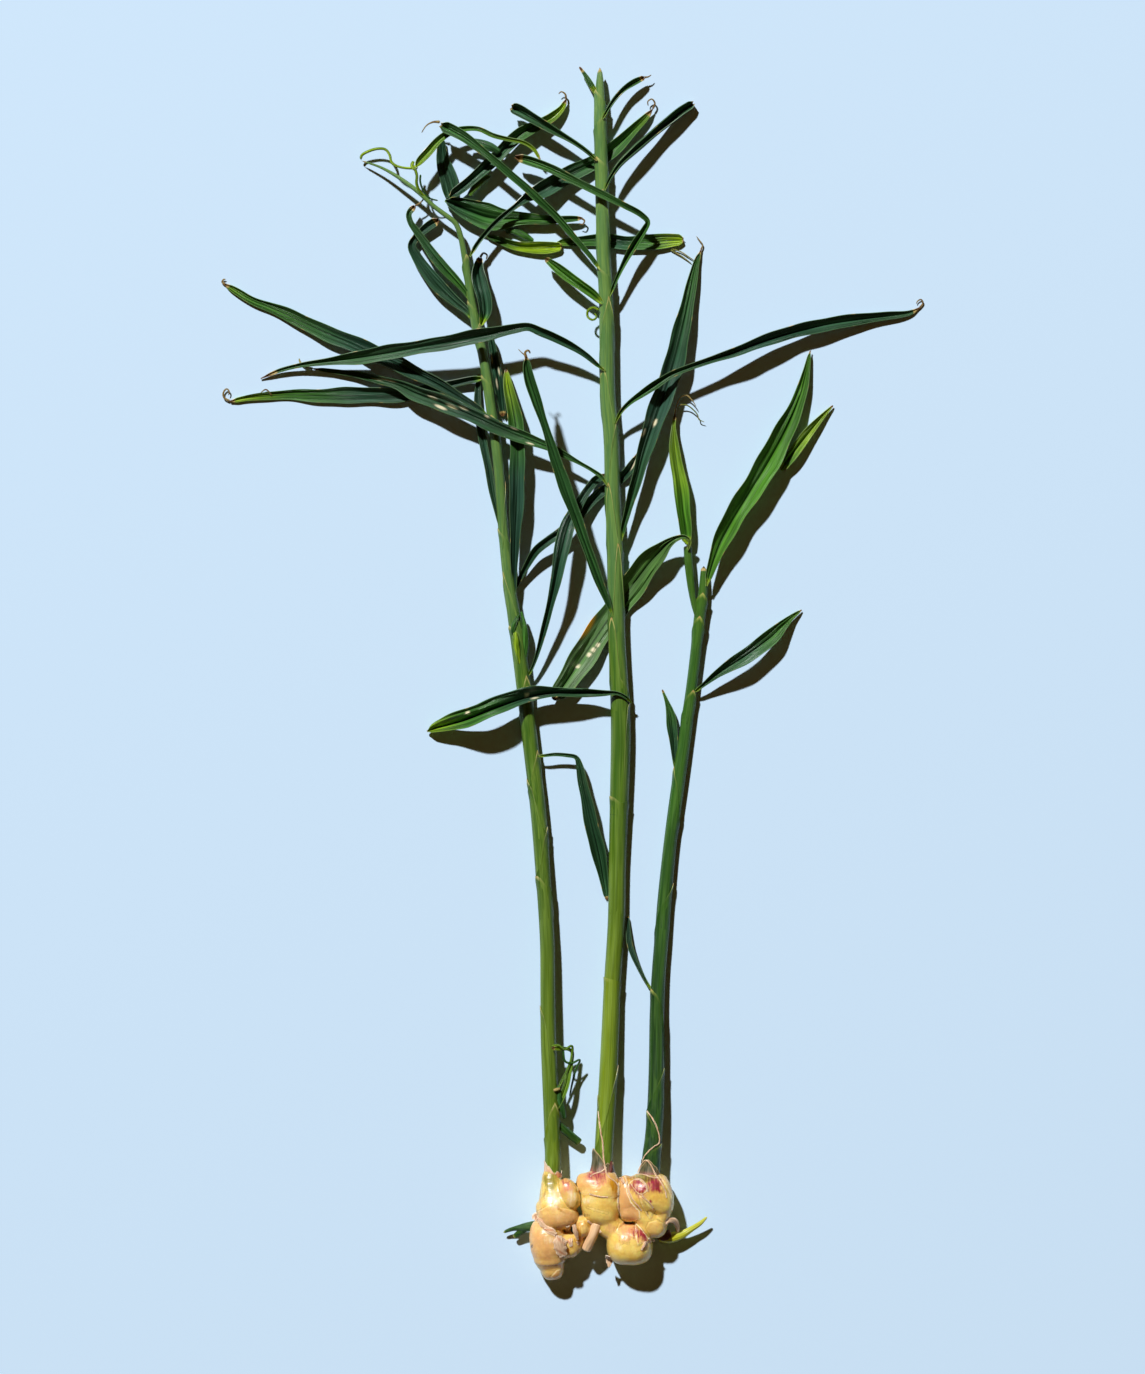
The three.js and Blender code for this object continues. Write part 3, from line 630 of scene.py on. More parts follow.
FINISHES = {
    FinishName.BLADE: BladeFinish(
        "ginger_blade", "leaf_dark", 0.36, 0.0,
        dark=linear(30, 66, 44), middle=linear(50, 102, 30), lime=linear(126, 166, 16),
        pale=linear(112, 146, 100), midrib=linear(14, 34, 14),
    ),
    FinishName.YOUNG_BLADE: BladeFinish(
        "ginger_young_blade", "leaf_young", 0.38, 0.0,
        dark=linear(30, 78, 20), middle=linear(62, 118, 24), lime=linear(134, 172, 34),
        pale=linear(132, 158, 112), midrib=linear(16, 34, 14),
    ),
    FinishName.STEM_PALE: StemFinish(
        "ginger_stem", "stem_pale", 0.4, 0.0,
        foot=linear(112, 136, 10), middle=linear(66, 108, 6), top=linear(90, 134, 66),
        rib=linear(160, 190, 84), lip=linear(214, 208, 130),
    ),
    FinishName.STEM_GREEN: StemFinish(
        "ginger_green_stem", "stem_green", 0.4, 0.0,
        foot=linear(28, 74, 14), middle=linear(54, 106, 24), top=linear(66, 112, 20),
        rib=linear(104, 150, 58), lip=linear(186, 196, 96),
    ),
    FinishName.SKIN: SkinFinish(
        "ginger_skin", "rhizome_skin", 0.34, 0.35, young=linear(246, 212, 116),
        # the dark tint lays painted shade in creases and gaps as well as thin brown streaks; the pale tint
        # lays pale scale edges and painted highlights
        tints=(
            ("tan", linear(230, 176, 112)), ("gold", linear(196, 136, 22)), ("olive", linear(158, 144, 52)),
            ("blush", linear(232, 150, 122)), ("pink", linear(160, 40, 62)), ("dark", linear(96, 54, 20)),
            ("pale", linear(255, 234, 194)),
        ),
    ),
    FinishName.PAPER: PaperFinish(
        "papery_scale", "papery_sheath", 0.5, 0.0,
        body=linear(238, 202, 164), dark=linear(214, 162, 116), edge=linear(252, 236, 212),
        tint=linear(206, 130, 86),
    ),
    FinishName.PURPLE: PaperFinish(
        "purple_sheath", "purple_sheath", 0.45, 0.1,
        body=linear(66, 76, 46), dark=linear(44, 50, 34), edge=linear(216, 186, 140),
        tint=linear(186, 106, 96),
    ),
    FinishName.SHOOT: PaperFinish(
        "young_shoot", "young_shoot", 0.4, 0.1,
        body=linear(196, 196, 40), dark=linear(160, 168, 30), edge=linear(224, 222, 96),
        tint=linear(182, 176, 40),
    ),
    FinishName.HOLLOW: PaperFinish(
        "shoot_hollow", "young_shoot", 0.6, 0.0,
        body=linear(92, 26, 12), dark=linear(60, 16, 8), edge=linear(150, 84, 30), tint=linear(110, 50, 20),
    ),
    FinishName.ROOT: PaperFinish(
        "root_skin", "root", 0.5, 0.0,
        body=linear(240, 200, 152), dark=linear(214, 160, 112), edge=linear(250, 228, 198),
        tint=linear(212, 160, 118),
    ),
}


class Dresser:
    """Gives each piece its finish and its body."""

    def __init__(self) -> None:
        """Builds the materials."""
        self.groups = Groups()
        self.materials = {name: finish.build(self.groups) for name, finish in FINISHES.items()}
        self.count = 0

    def dress(self, piece: bpy.types.Object, finish: FinishName, *nodes: str) -> None:
        """Finishes a piece and hands it to the frame.

        Args:
            piece: the mesh object.
            finish: its finish.
            nodes: the frame's nodes that it stands for.
        """
        piece.data.materials.clear()
        piece.data.materials.append(self.materials[finish])
        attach(piece, BODY)
        if nodes:
            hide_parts(*nodes)
        self.count += 1
        LOG.info("%s: %d faces, %s", piece.name, len(piece.data.polygons), finish.value)


class Builder:
    """Models pieces and has them finished."""

    def __init__(self, dresser: Dresser) -> None:
        """Keeps the dresser, which finishes each piece."""
        self.dresser = dresser


# --- Mesh helpers ---------------------------------------------------------------------------


def select(*pieces: bpy.types.Object) -> None:
    """Selects some pieces and nothing else, with the last one active.

    Args:
        pieces: what the next operator acts on, or nothing.
    """
    if bpy.context.object and bpy.context.object.mode != "OBJECT":
        bpy.ops.object.mode_set(mode="OBJECT")
    bpy.ops.object.select_all(action="DESELECT")
    for piece in pieces:
        piece.select_set(True)
        bpy.context.view_layer.objects.active = piece


def read_points(piece: bpy.types.Object, field: str = "co") -> np.ndarray:
    """A mesh's places, in metres, or its normals.

    Args:
        piece: the mesh object.
        field: "co" for places or "normal" for normals.

    Returns:
        One row for each point.
    """
    flat = np.empty(len(piece.data.vertices) * 3)
    piece.data.vertices.foreach_get(field, flat)
    return flat.reshape(-1, 3)


def turned(points: np.ndarray, degrees: float) -> tuple[np.ndarray, np.ndarray]:
    """Points seen in axes that are turned about Z.

    Args:
        points: one row for each point.
        degrees: the turn.

    Returns:
        Their x and their y in the turned axes.
    """
    turn = math.radians(degrees)
    x = points[:, 0] * math.cos(turn) + points[:, 1] * math.sin(turn)
    y = -points[:, 0] * math.sin(turn) + points[:, 1] * math.cos(turn)
    return x, y


def sheet_grid(name: str, columns: int, rows: int) -> tuple[bpy.types.Object, np.ndarray, np.ndarray]:
    """A flat grid with a UV map, to be shaped into a blade, a sheath or a scale.

    Args:
        name: the piece's name.
        columns: faces across.
        rows: faces along.

    Returns:
        The object, and each point's place across and along, both from 0 to 1.
    """
    select()
    bpy.ops.mesh.primitive_grid_add(x_subdivisions=columns, y_subdivisions=rows, size=2, calc_uvs=True)
    piece = bpy.context.object
    piece.name = piece.data.name = name
    corners = read_points(piece)
    return piece, (corners[:, 0] + 1) / 2, (corners[:, 1] + 1) / 2


def soft_noise(points: np.ndarray) -> np.ndarray:
    """Smooth noise at each point, about -1 to 1."""
    return np.array([noise.noise(Vector(point)) for point in points])


def set_points(piece: bpy.types.Object, points: np.ndarray) -> None:
    """Moves a mesh's points, given as one row for each, in mm."""
    piece.data.vertices.foreach_set("co", (points * MM).ravel())
    piece.data.update()


def store(piece: bpy.types.Object, **values: np.ndarray) -> None:
    """Stores values on a mesh's points.

    Args:
        piece: the mesh object.
        values: one array for each attribute.
    """
    for name, row in values.items():
        attribute = piece.data.attributes.new(name, "FLOAT", "POINT")
        attribute.data.foreach_set("value", np.asarray(row, dtype=np.float32))


def apply_modifier(piece: bpy.types.Object, kind: str, **settings: object) -> None:
    """Adds a modifier and applies it.

    Args:
        piece: the mesh object.
        kind: the modifier's type.
        settings: its properties.
    """
    select(piece)
    modifier = piece.modifiers.new(kind.lower(), kind)
    for name, value in settings.items():
        setattr(modifier, name, value)
    bpy.ops.object.modifier_apply(modifier=modifier.name)


def finish_shape(piece: bpy.types.Object, thickness: float, merge: float = 0.0) -> None:
    """Turns a shaped sheet into a closed thin body with smooth faces.

    Args:
        piece: the sheet.
        thickness: its wall, mm.
        merge: points closer than this become one, mm.
    """
    select(piece)
    bpy.ops.object.mode_set(mode="EDIT")
    bpy.ops.mesh.select_all(action="SELECT")
    if merge:
        bpy.ops.mesh.remove_doubles(threshold=merge * MM)
    bpy.ops.mesh.normals_make_consistent(inside=False)
    bpy.ops.object.mode_set(mode="OBJECT")
    apply_modifier(piece, "SOLIDIFY", thickness=thickness * MM, offset=0.0, use_even_offset=False)
    bpy.ops.object.shade_smooth_by_angle(angle=math.radians(50))


def close_tube(piece: bpy.types.Object, seam: float) -> None:
    """Closes a sheet that is rolled into a tube: joins its seam, fills its ends, smooths it.

    Args:
        piece: the rolled sheet.
        seam: points closer than this become one, mm.
    """
    select(piece)
    bpy.ops.object.mode_set(mode="EDIT")
    bpy.ops.mesh.select_all(action="SELECT")
    bpy.ops.mesh.remove_doubles(threshold=seam * MM)
    bpy.ops.mesh.select_all(action="DESELECT")
    bpy.ops.mesh.select_non_manifold()
    bpy.ops.mesh.fill_holes(sides=0)
    bpy.ops.mesh.select_all(action="SELECT")
    bpy.ops.mesh.normals_make_consistent(inside=False)
    bpy.ops.object.mode_set(mode="OBJECT")
    bpy.ops.object.shade_smooth()


def three(values: tuple[float, float, float], share: np.ndarray) -> np.ndarray:
    """Values given at a piece's base, middle and tip, spread along it from 0 to 1."""
    return np.interp(share, [0.0, 0.5, 1.0], values)


# --- Leaves ---------------------------------------------------------------------------------


@dataclass
class Blade:
    """One leaf blade: its route, how it is curled, rolled and creased, and how it is coloured."""

    node: str
    points: list[Point]
    curl: tuple[float, float, float] = (170, 60, 120)  # bend of its section at base, middle, tip
    roll: tuple[float, float, float] = (0, 0, 0)  # turn about its own line
    crease: float = 0.7  # depth of its lengthwise folds, mm
    fold: float = 30.0  # how far its halves fold up along the midrib, degrees
    wave: float = 0.5  # waviness of its edges, mm
    tone: tuple[float, float, float] = (0.15, 0.1, 0.1)  # dark to lime at base, middle, tip
    dry: float = 3.0  # length of its dry tip, mm
    stalk: float = 9.0  # length of the pale stretch at its base, mm
    back: float = 0.0  # share of the pale underside that shows
    bleach: tuple[tuple[float, float, float], ...] = ()  # white tears: along, across, size
    scorch: tuple[tuple[float, float, float], ...] = ()  # browned spots, given the same way
    finish: FinishName = FinishName.BLADE
    hollow: int = 1  # 1 where its edges turn up, -1 where they turn down


class Foliage(Builder):
    """Builds the leaf blades of the plant."""

    COLUMNS = 22
    ROW = 1.3  # length of a face along a blade, mm

    def build(self, blade: Blade) -> bpy.types.Object:
        """Models and finishes one blade.

        Args:
            blade: its description.

        Returns:
            The blade.
        """
        seed = sum(map(ord, blade.node))
        route = Route(blade.points, 200)
        rows = int(min(150, max(26, route.length / self.ROW)))
        piece, across, along = sheet_grid("blade_" + blade.node, self.COLUMNS, rows)
        travel = along * route.length
        side = across * 2 - 1
        half = np.interp(travel, route.travel, route.width) / 2
        tilt = np.radians(three(blade.roll, along))
        half = half / np.maximum(np.cos(tilt), 0.55)
        half = half * (
            1 + 0.07 * np.sin(travel / 9 + seed + side * 1.1) + 0.05 * np.sin(travel / 4.1 - side * 0.7)
        )
        bend = np.radians(three(blade.curl, along)) / 2
        radius = half / np.sin(np.minimum(bend, math.pi / 2) + 1e-4)
        sideways = radius * np.sin(side * bend)
        lift = blade.hollow * radius * (1 - np.cos(side * bend))
        lift -= blade.hollow * radius * (1 - np.cos(bend)) * 0.5
        vee = np.abs(side) * half * math.tan(math.radians(blade.fold))
        lift += blade.hollow * (vee - 0.5 * half * math.tan(math.radians(blade.fold)))
        lift += self._creases(side, travel, half, blade.crease, seed)
        sway = np.sin(travel / 17 + seed) + 0.6 * np.sin(travel / 7.3 + side * 2 + seed * 2)
        lift += blade.wave * side**2 * sway * smooth(half, 0.6, 3.0)
        ends = smooth(along, 0.0, 0.04) * smooth(along, 1.0, 0.97)
        sideways *= 0.35 + 0.65 * ends
        level = sideways * np.cos(tilt) - lift * np.sin(tilt)
        raised = sideways * np.sin(tilt) + lift * np.cos(tilt)
        points = route.place(travel, level, raised)
        points[:, 2] = np.maximum(points[:, 2], FLOOR_CLEARANCE)
        set_points(piece, points)
        self._colour(piece, blade, route, side, travel)
        finish_shape(piece, BLADE_WALL)
        self.dresser.dress(piece, blade.finish, blade.node)
        return piece

    @staticmethod
    def _creases(
        side: np.ndarray, travel: np.ndarray, half: np.ndarray, depth: float, seed: int,
    ) -> np.ndarray:
        """Lengthwise folds that wander slowly along a blade.

        Args:
            side: place across, -1 to 1.
            travel: place along, mm.
            half: half width there, mm.
            depth: how deep, mm.
            seed: makes each blade its own.

        Returns:
            The lift at each point, mm.
        """
        rng = np.random.default_rng(seed)
        lift = np.zeros_like(side)
        for _ in range(5):
            centre = rng.uniform(-0.75, 0.75)
            centre = centre + 0.12 * np.sin(travel / rng.uniform(18, 40) + rng.uniform(0, 6))
            spread = rng.uniform(0.1, 0.22)
            sign = rng.choice([-1.0, 1.0])
            strength = 0.5 + 0.5 * np.sin(travel / rng.uniform(15, 35) + rng.uniform(0, 6))
            lift += sign * strength * np.exp(-(((side - centre) / spread) ** 2))
        for _ in range(4):
            centre = rng.uniform(-0.85, 0.85) + 0.2 * np.sin(travel / rng.uniform(20, 50) + rng.uniform(0, 6))
            strength = smooth(np.sin(travel / rng.uniform(9, 25) + rng.uniform(0, 6)), -0.3, 0.6)
            lift += 0.9 * strength * np.exp(-np.abs(side - centre) / 0.07)
        middle = -1.3 * np.exp(-((side / 0.09) ** 2))
        return depth * (lift + middle) * smooth(half, 0.5, 3.0)

    @staticmethod
    def _colour(
        piece: bpy.types.Object, blade: Blade, route: Route, side: np.ndarray, travel: np.ndarray,
    ) -> None:
        """Stores a blade's tone, dryness, pale back, tears and scorched spots on its points.

        Args:
            piece: the sheet.
            blade: its description.
            route: its middle line.
            side: place across, -1 to 1.
            travel: place along, mm.
        """
        along = travel / route.length
        tone = three(blade.tone, along)
        tone = np.maximum(tone, 0.9 * smooth(travel, blade.stalk, blade.stalk * 0.3))
        tip = smooth(travel, route.length - blade.dry * 1.6, route.length - blade.dry * 0.2)
        edge = smooth(np.abs(side), 0.94, 1.0) * smooth(np.sin(travel / 6 + blade.points[0][0]), 0.85, 1.0)
        bleach = np.zeros_like(side)
        for place, offset, size in blade.bleach:
            gap = np.hypot((travel - place) / size, (side - offset) / 0.22)
            bleach = np.maximum(bleach, smooth(gap, 1.0, 0.5))
        scorch = np.zeros_like(side)
        for place, offset, size in blade.scorch:
            gap = np.hypot((travel - place) / size, (side - offset) / 0.34)
            scorch = np.maximum(scorch, smooth(gap, 1.0, 0.35))
        store(piece, tone=tone, dry=np.maximum(tip * 1.1, edge * 0.5), bleach=bleach, scorch=scorch,
              back=np.full_like(side, blade.back))


@dataclass
class Tendril:
    """A thin tapering strand: a dry curl at a blade's tip, a loose strip or a small second leaf."""

    name: str
    points: list[Point]
    dry: float = 0.9
    tone: float = 0.7
    finish: FinishName = FinishName.BLADE


class Curls(Builder):
    """Builds the curls, strands and small second leaves."""

    SIDES = 8
    ROW = 0.7  # length of a face along a curl, mm

    def build(self, tendril: Tendril) -> bpy.types.Object:
        """Models and finishes one curl as a thin tapering tube.

        Args:
            tendril: its description.

        Returns:
            The curl.
        """
        route = Route(tendril.points, 90)
        rows = int(max(20, route.length / self.ROW))
        piece, across, along = sheet_grid("curl_" + tendril.name, self.SIDES, rows)
        travel = along * route.length
        radius = np.interp(travel, route.travel, route.width) / 2
        radius = radius * (1 - 0.96 * smooth(along, 0.97, 1.0)) * (0.04 + 0.96 * smooth(along, 0.0, 0.03))
        angle = across * 2 * math.pi
        points = route.place(travel, radius * np.cos(angle), radius * np.sin(angle) * 0.6)
        points[:, 2] = np.maximum(points[:, 2], 0.1)
        set_points(piece, points)
        one = np.ones_like(along)
        store(piece, tone=one * tendril.tone, dry=one * tendril.dry, bleach=one * 0, back=one * 0)
        close_tube(piece, CURL_SEAM)
        self.dresser.dress(piece, tendril.finish)
        return piece


LEFT_BLADES = [
    Blade("leaf_left_01", [(-11, -262, 12.5, 2), (-8, -256, 13, 3), (-4.6, -247, 12.4, 3.6),
        (-2.6, -238, 11.4, 3), (-1, -231, 10.6, 2), (-1, -226.4, 10.8, 1.8), (-4, -224.8, 12.4, 1.8),
        (-9, -224.4, 15.8, 2.2), (-13, -224, 17.4, 1.8)], tone=(0.7, 0.7, 0.8), dry=2, wave=0.1),
    Blade("leaf_left_02", [(-22, -50, 7.4, 1.6), (-17, -49.4, 8, 1.6), (-11, -48.7, 8, 1.9),
        (-4, -49.2, 7.6, 2.2), (1.6, -50.6, 7.4, 2.4), (3.6, -56, 7.8, 4), (5.4, -66, 8.4, 5.6),
        (8, -78, 8.4, 7), (11, -91, 7.4, 8.2), (14, -103, 6, 8.4), (16.4, -114, 4, 7), (18.2, -125, 2.2, 5),
        (20, -136, 1.1, 2.4)], dry=2, tone=(0.3, 0.12, 0.2)),
    Blade("leaf_left_03", [(-28, -3, 6.6, 1.6), (-24.4, 4, 8, 1.6), (-20, 17, 11, 2.8), (-16, 32, 14.6, 4),
        (-12.6, 46, 17.6, 5), (-9.8, 60, 19.6, 7), (-6.8, 74, 19.4, 8.6), (-3.6, 87, 16.6, 9),
        (0.4, 96, 13, 7), (4.6, 104, 9.4, 5.4), (9.4, 111, 6.4, 5), (14, 116, 3.6, 4.6),
        (19, 119, 1.6, 2.8)], curl=(200, 90, 60), crease=0.6),
    Blade("leaf_left_04", [(-36.4, 40, 8, 1.8), (-35.7, 50, 8.6, 2.4), (-35.4, 64, 9.6, 4),
        (-35, 80, 11, 6), (-34.2, 98, 12.2, 8), (-33.6, 116, 12.6, 9), (-33.4, 132, 12, 9),
        (-34.6, 148, 10, 8.8), (-37, 162, 7.6, 7), (-39.2, 173, 5.6, 4.8), (-40.6, 183, 4, 1.6)],
        tone=(0.05, 0.02, 1.0), crease=0.5),
    Blade("leaf_left_05", [(-38, 46, 4.4, 1.6), (-33, 55, 4.4, 2.4), (-27.4, 65, 6.4, 4), (-22, 73.6, 9, 5),
        (-15, 79.4, 10.4, 5.4), (-8, 84, 10.6, 5.6), (-1, 89.4, 9, 6), (6, 97.4, 6, 6), (13, 105, 3.4, 6),
        (20, 111, 1.4, 6), (26.6, 115.4, 1.4, 5.6), (32, 120.4, 2.8, 5.4), (35.6, 126, 4, 4.2),
        (38, 131.4, 4.4, 1.2)], bleach=((112, 0.4, 5), (120, -0.2, 4), (128, 0.1, 3))),
    Blade("leaf_left_06", [(-42.6, 84, 8.6, 1.6), (-45.6, 95, 8.6, 2.4), (-48.6, 108, 8.2, 3.6),
        (-51, 122, 7.6, 4.2), (-53.8, 137, 6.8, 4.4), (-56.4, 151, 5.4, 4.4), (-57.6, 165, 3.4, 3.8),
        (-57, 179, 1.6, 2)], curl=(200, 120, 60)),
    Blade("leaf_left_07", [(-50.6, 153.4, 8.8, 2.4), (-58, 159, 9, 3.6), (-70, 166.4, 8.6, 5),
        (-82, 173.4, 8, 6.4), (-95, 180, 7, 8), (-108, 186.6, 6, 9.6), (-121, 192, 5, 9.8),
        (-134, 198, 4, 9.4), (-147, 203.4, 3, 9.2), (-160, 209.4, 2.2, 8.8), (-171, 214.6, 1.6, 7.6),
        (-182, 219.2, 1.2, 5.8), (-193, 223.6, 0.9, 4.2), (-203, 229.6, 0.8, 4), (-210, 233.8, 0.9, 2)],
        tone=(0.1, 0.05, 0.7), crease=0.6, dry=4),
    Blade("leaf_left_08", [(-53, 177, 5, 3.6), (-61, 175.6, 4.4, 4), (-71, 173.4, 3.2, 4.6),
        (-82, 171, 2, 5.6), (-95, 168, 1.2, 7.4), (-108, 166.4, 0.7, 8.6), (-122, 166.4, 0.6, 9.4),
        (-137, 166.4, 0.6, 9.4), (-151, 166.4, 0.6, 8.2), (-166, 166.8, 0.6, 6.6), (-181, 166.2, 0.7, 5),
        (-195, 165, 0.9, 3.4), (-206, 163, 1.2, 2.2)], tone=(0.05, 0.1, 0.9), crease=0.55, dry=3),
    Blade("leaf_left_09", [(-55.4, 208, 9.6, 2.4), (-53, 216, 10, 6.6), (-53.6, 224, 9.6, 8.4),
        (-55.6, 233, 8, 8.6), (-57, 241, 6.4, 6.4), (-56, 249, 5, 3)], crease=1.3, curl=(220, 160, 200)),
    Blade("leaf_left_10", [(-53.6, 207, 6.4, 1.8), (-50, 201, 7, 3.4), (-48, 193, 7, 5),
        (-46.6, 184, 6.6, 5.6), (-45, 174, 5.6, 5.6), (-43.6, 164, 4, 4.4), (-42.4, 154, 2.6, 3)],
        crease=1.3, wave=1.2, bleach=((20, 0.6, 4), (28, -0.5, 3), (35, 0.3, 4))),
    Blade("leaf_left_11", [(-59.4, 211, 9, 2.4), (-64, 216.6, 8.4, 4), (-70.4, 221.8, 7.4, 6),
        (-77, 228, 6, 7.6), (-83.4, 235, 5, 7.8), (-89, 242.4, 4.2, 7.4), (-94, 250, 3.6, 6),
        (-97, 256, 3.4, 4.6), (-94, 261.6, 3.6, 4.6), (-88, 267, 4, 5.4), (-81, 271.6, 4.6, 5)],
        crease=0.5),
    Blade("leaf_left_12", [(-60.6, 222, 10, 2), (-66.4, 230, 11, 3.8), (-72, 236.4, 11.2, 5.6),
        (-78.4, 243.6, 10.6, 6), (-84.4, 250.8, 10, 5.8), (-89.4, 258, 9.6, 5), (-94, 264.4, 9.4, 4),
        (-97.8, 270, 9.2, 3.2), (-98.6, 275, 9.2, 3.2), (-95, 279.6, 8.8, 4)], tone=(0.6, 0.2, 0.3)),
    Blade("leaf_left_13", [(-62, 249, 12.6, 2), (-58, 256, 12.8, 2.2), (-52, 263.6, 12.4, 2.6),
        (-44, 271.6, 12, 2.8), (-36, 278.2, 11.4, 3), (-28, 284.4, 10.4, 5.6), (-19, 289.2, 8.6, 9.4),
        (-9, 294.6, 6.2, 10), (1, 300.2, 4, 9.6), (11, 305.4, 2.6, 9.4), (21, 312, 2.4, 9),
        (30, 320, 2.6, 7.6), (37, 326.6, 2.8, 5.6), (43, 332.6, 3, 4), (47.4, 338, 3.4, 2)],
        curl=(240, 80, 60), tone=(0.2, 0.1, 0.75), dry=5),
    Blade("leaf_left_14", [(-52, 262, 2.2, 2), (-47, 260.4, 2, 3.2), (-42, 258.4, 1.8, 4.4),
        (-35, 256, 1.8, 5.6), (-28, 255, 1.8, 6.4), (-20, 255, 1.8, 7.4), (-13, 255.4, 2, 6.8),
        (-7, 255.8, 2.4, 4.6)], tone=(0.3, 0.9, 1.0), dry=1, stalk=0.1, curl=(60, 80, 140), crease=0.7),
    Blade("leaf_left_15", [(-77, 283, 5.4, 3), (-71, 280.6, 5.4, 8), (-62, 277, 5.4, 14),
        (-53, 273.8, 5.2, 16.4), (-44, 272.4, 5, 13), (-35, 272.4, 4.8, 9), (-26, 272, 4.8, 6.4),
        (-14, 271.4, 4.8, 5), (-2, 272, 4.6, 3.8), (5.4, 272.6, 4.6, 1.8)], curl=(60, 50, 160),
        tone=(0.1, 0.45, 0.5), crease=1.3, stalk=0.1, wave=0.9),
    Blade("leaf_left_16", [(-72.6, 284.6, 1.6, 7), (-73.6, 290, 1.4, 9.4), (-75, 296, 1.3, 10.6),
        (-77, 302, 1.4, 10.4), (-78.6, 308, 1.6, 7.6), (-79.2, 314, 2.2, 5.4), (-79.6, 320, 3, 4)],
        curl=(40, 40, 60), stalk=0.1, dry=0.4, crease=0.9),
    Blade("leaf_left_17", [(-74, 285, 8.6, 5), (-66, 291.4, 8.4, 6), (-57, 299, 8, 6.6), (-48, 307, 7.6, 7),
        (-40, 315, 7.2, 7.6), (-31, 323, 6.6, 7.8), (-21, 328.6, 5.6, 6.4), (-13, 333, 4.6, 5.4),
        (-7, 338.6, 3.8, 3.4), (-4.4, 344, 3.6, 1.8)], curl=(120, 90, 100), tone=(0.1, 0.2, 1.0), stalk=0.1,
        crease=0.9),
    Blade("leaf_left_18", [(-94.6, 302, 15.8, 2.6), (-91.6, 306.4, 15.2, 4.4), (-87, 311.6, 14.4, 5),
        (-81.6, 317.6, 13.2, 4.6), (-75, 322.6, 11.8, 3.6), (-66, 325.4, 11, 3.2), (-57, 325.4, 10.8, 2.8),
        (-48, 321.6, 11.2, 2.6), (-38, 319.2, 11, 2.4), (-30, 317.4, 10.8, 2), (-24, 313.6, 10, 1.8),
        (-20, 307.4, 8.8, 1.6)], curl=(110, 90, 200), tone=(0.8, 0.55, 0.9), wave=0.2, crease=0.2, dry=1.5),
    Blade("leaf_left_19", [(-10, 258, 0.8, 3.4), (4, 259, 0.8, 5.6), (18, 259.2, 0.9, 7.6),
        (32, 257.8, 1.2, 8.6), (44, 258.4, 1.6, 9), (56, 259.4, 2, 8.4), (66, 259.6, 2.2, 6)],
        curl=(60, 60, 40), tone=(0.75, 0.1, 1.0), stalk=0.1, dry=1),
]

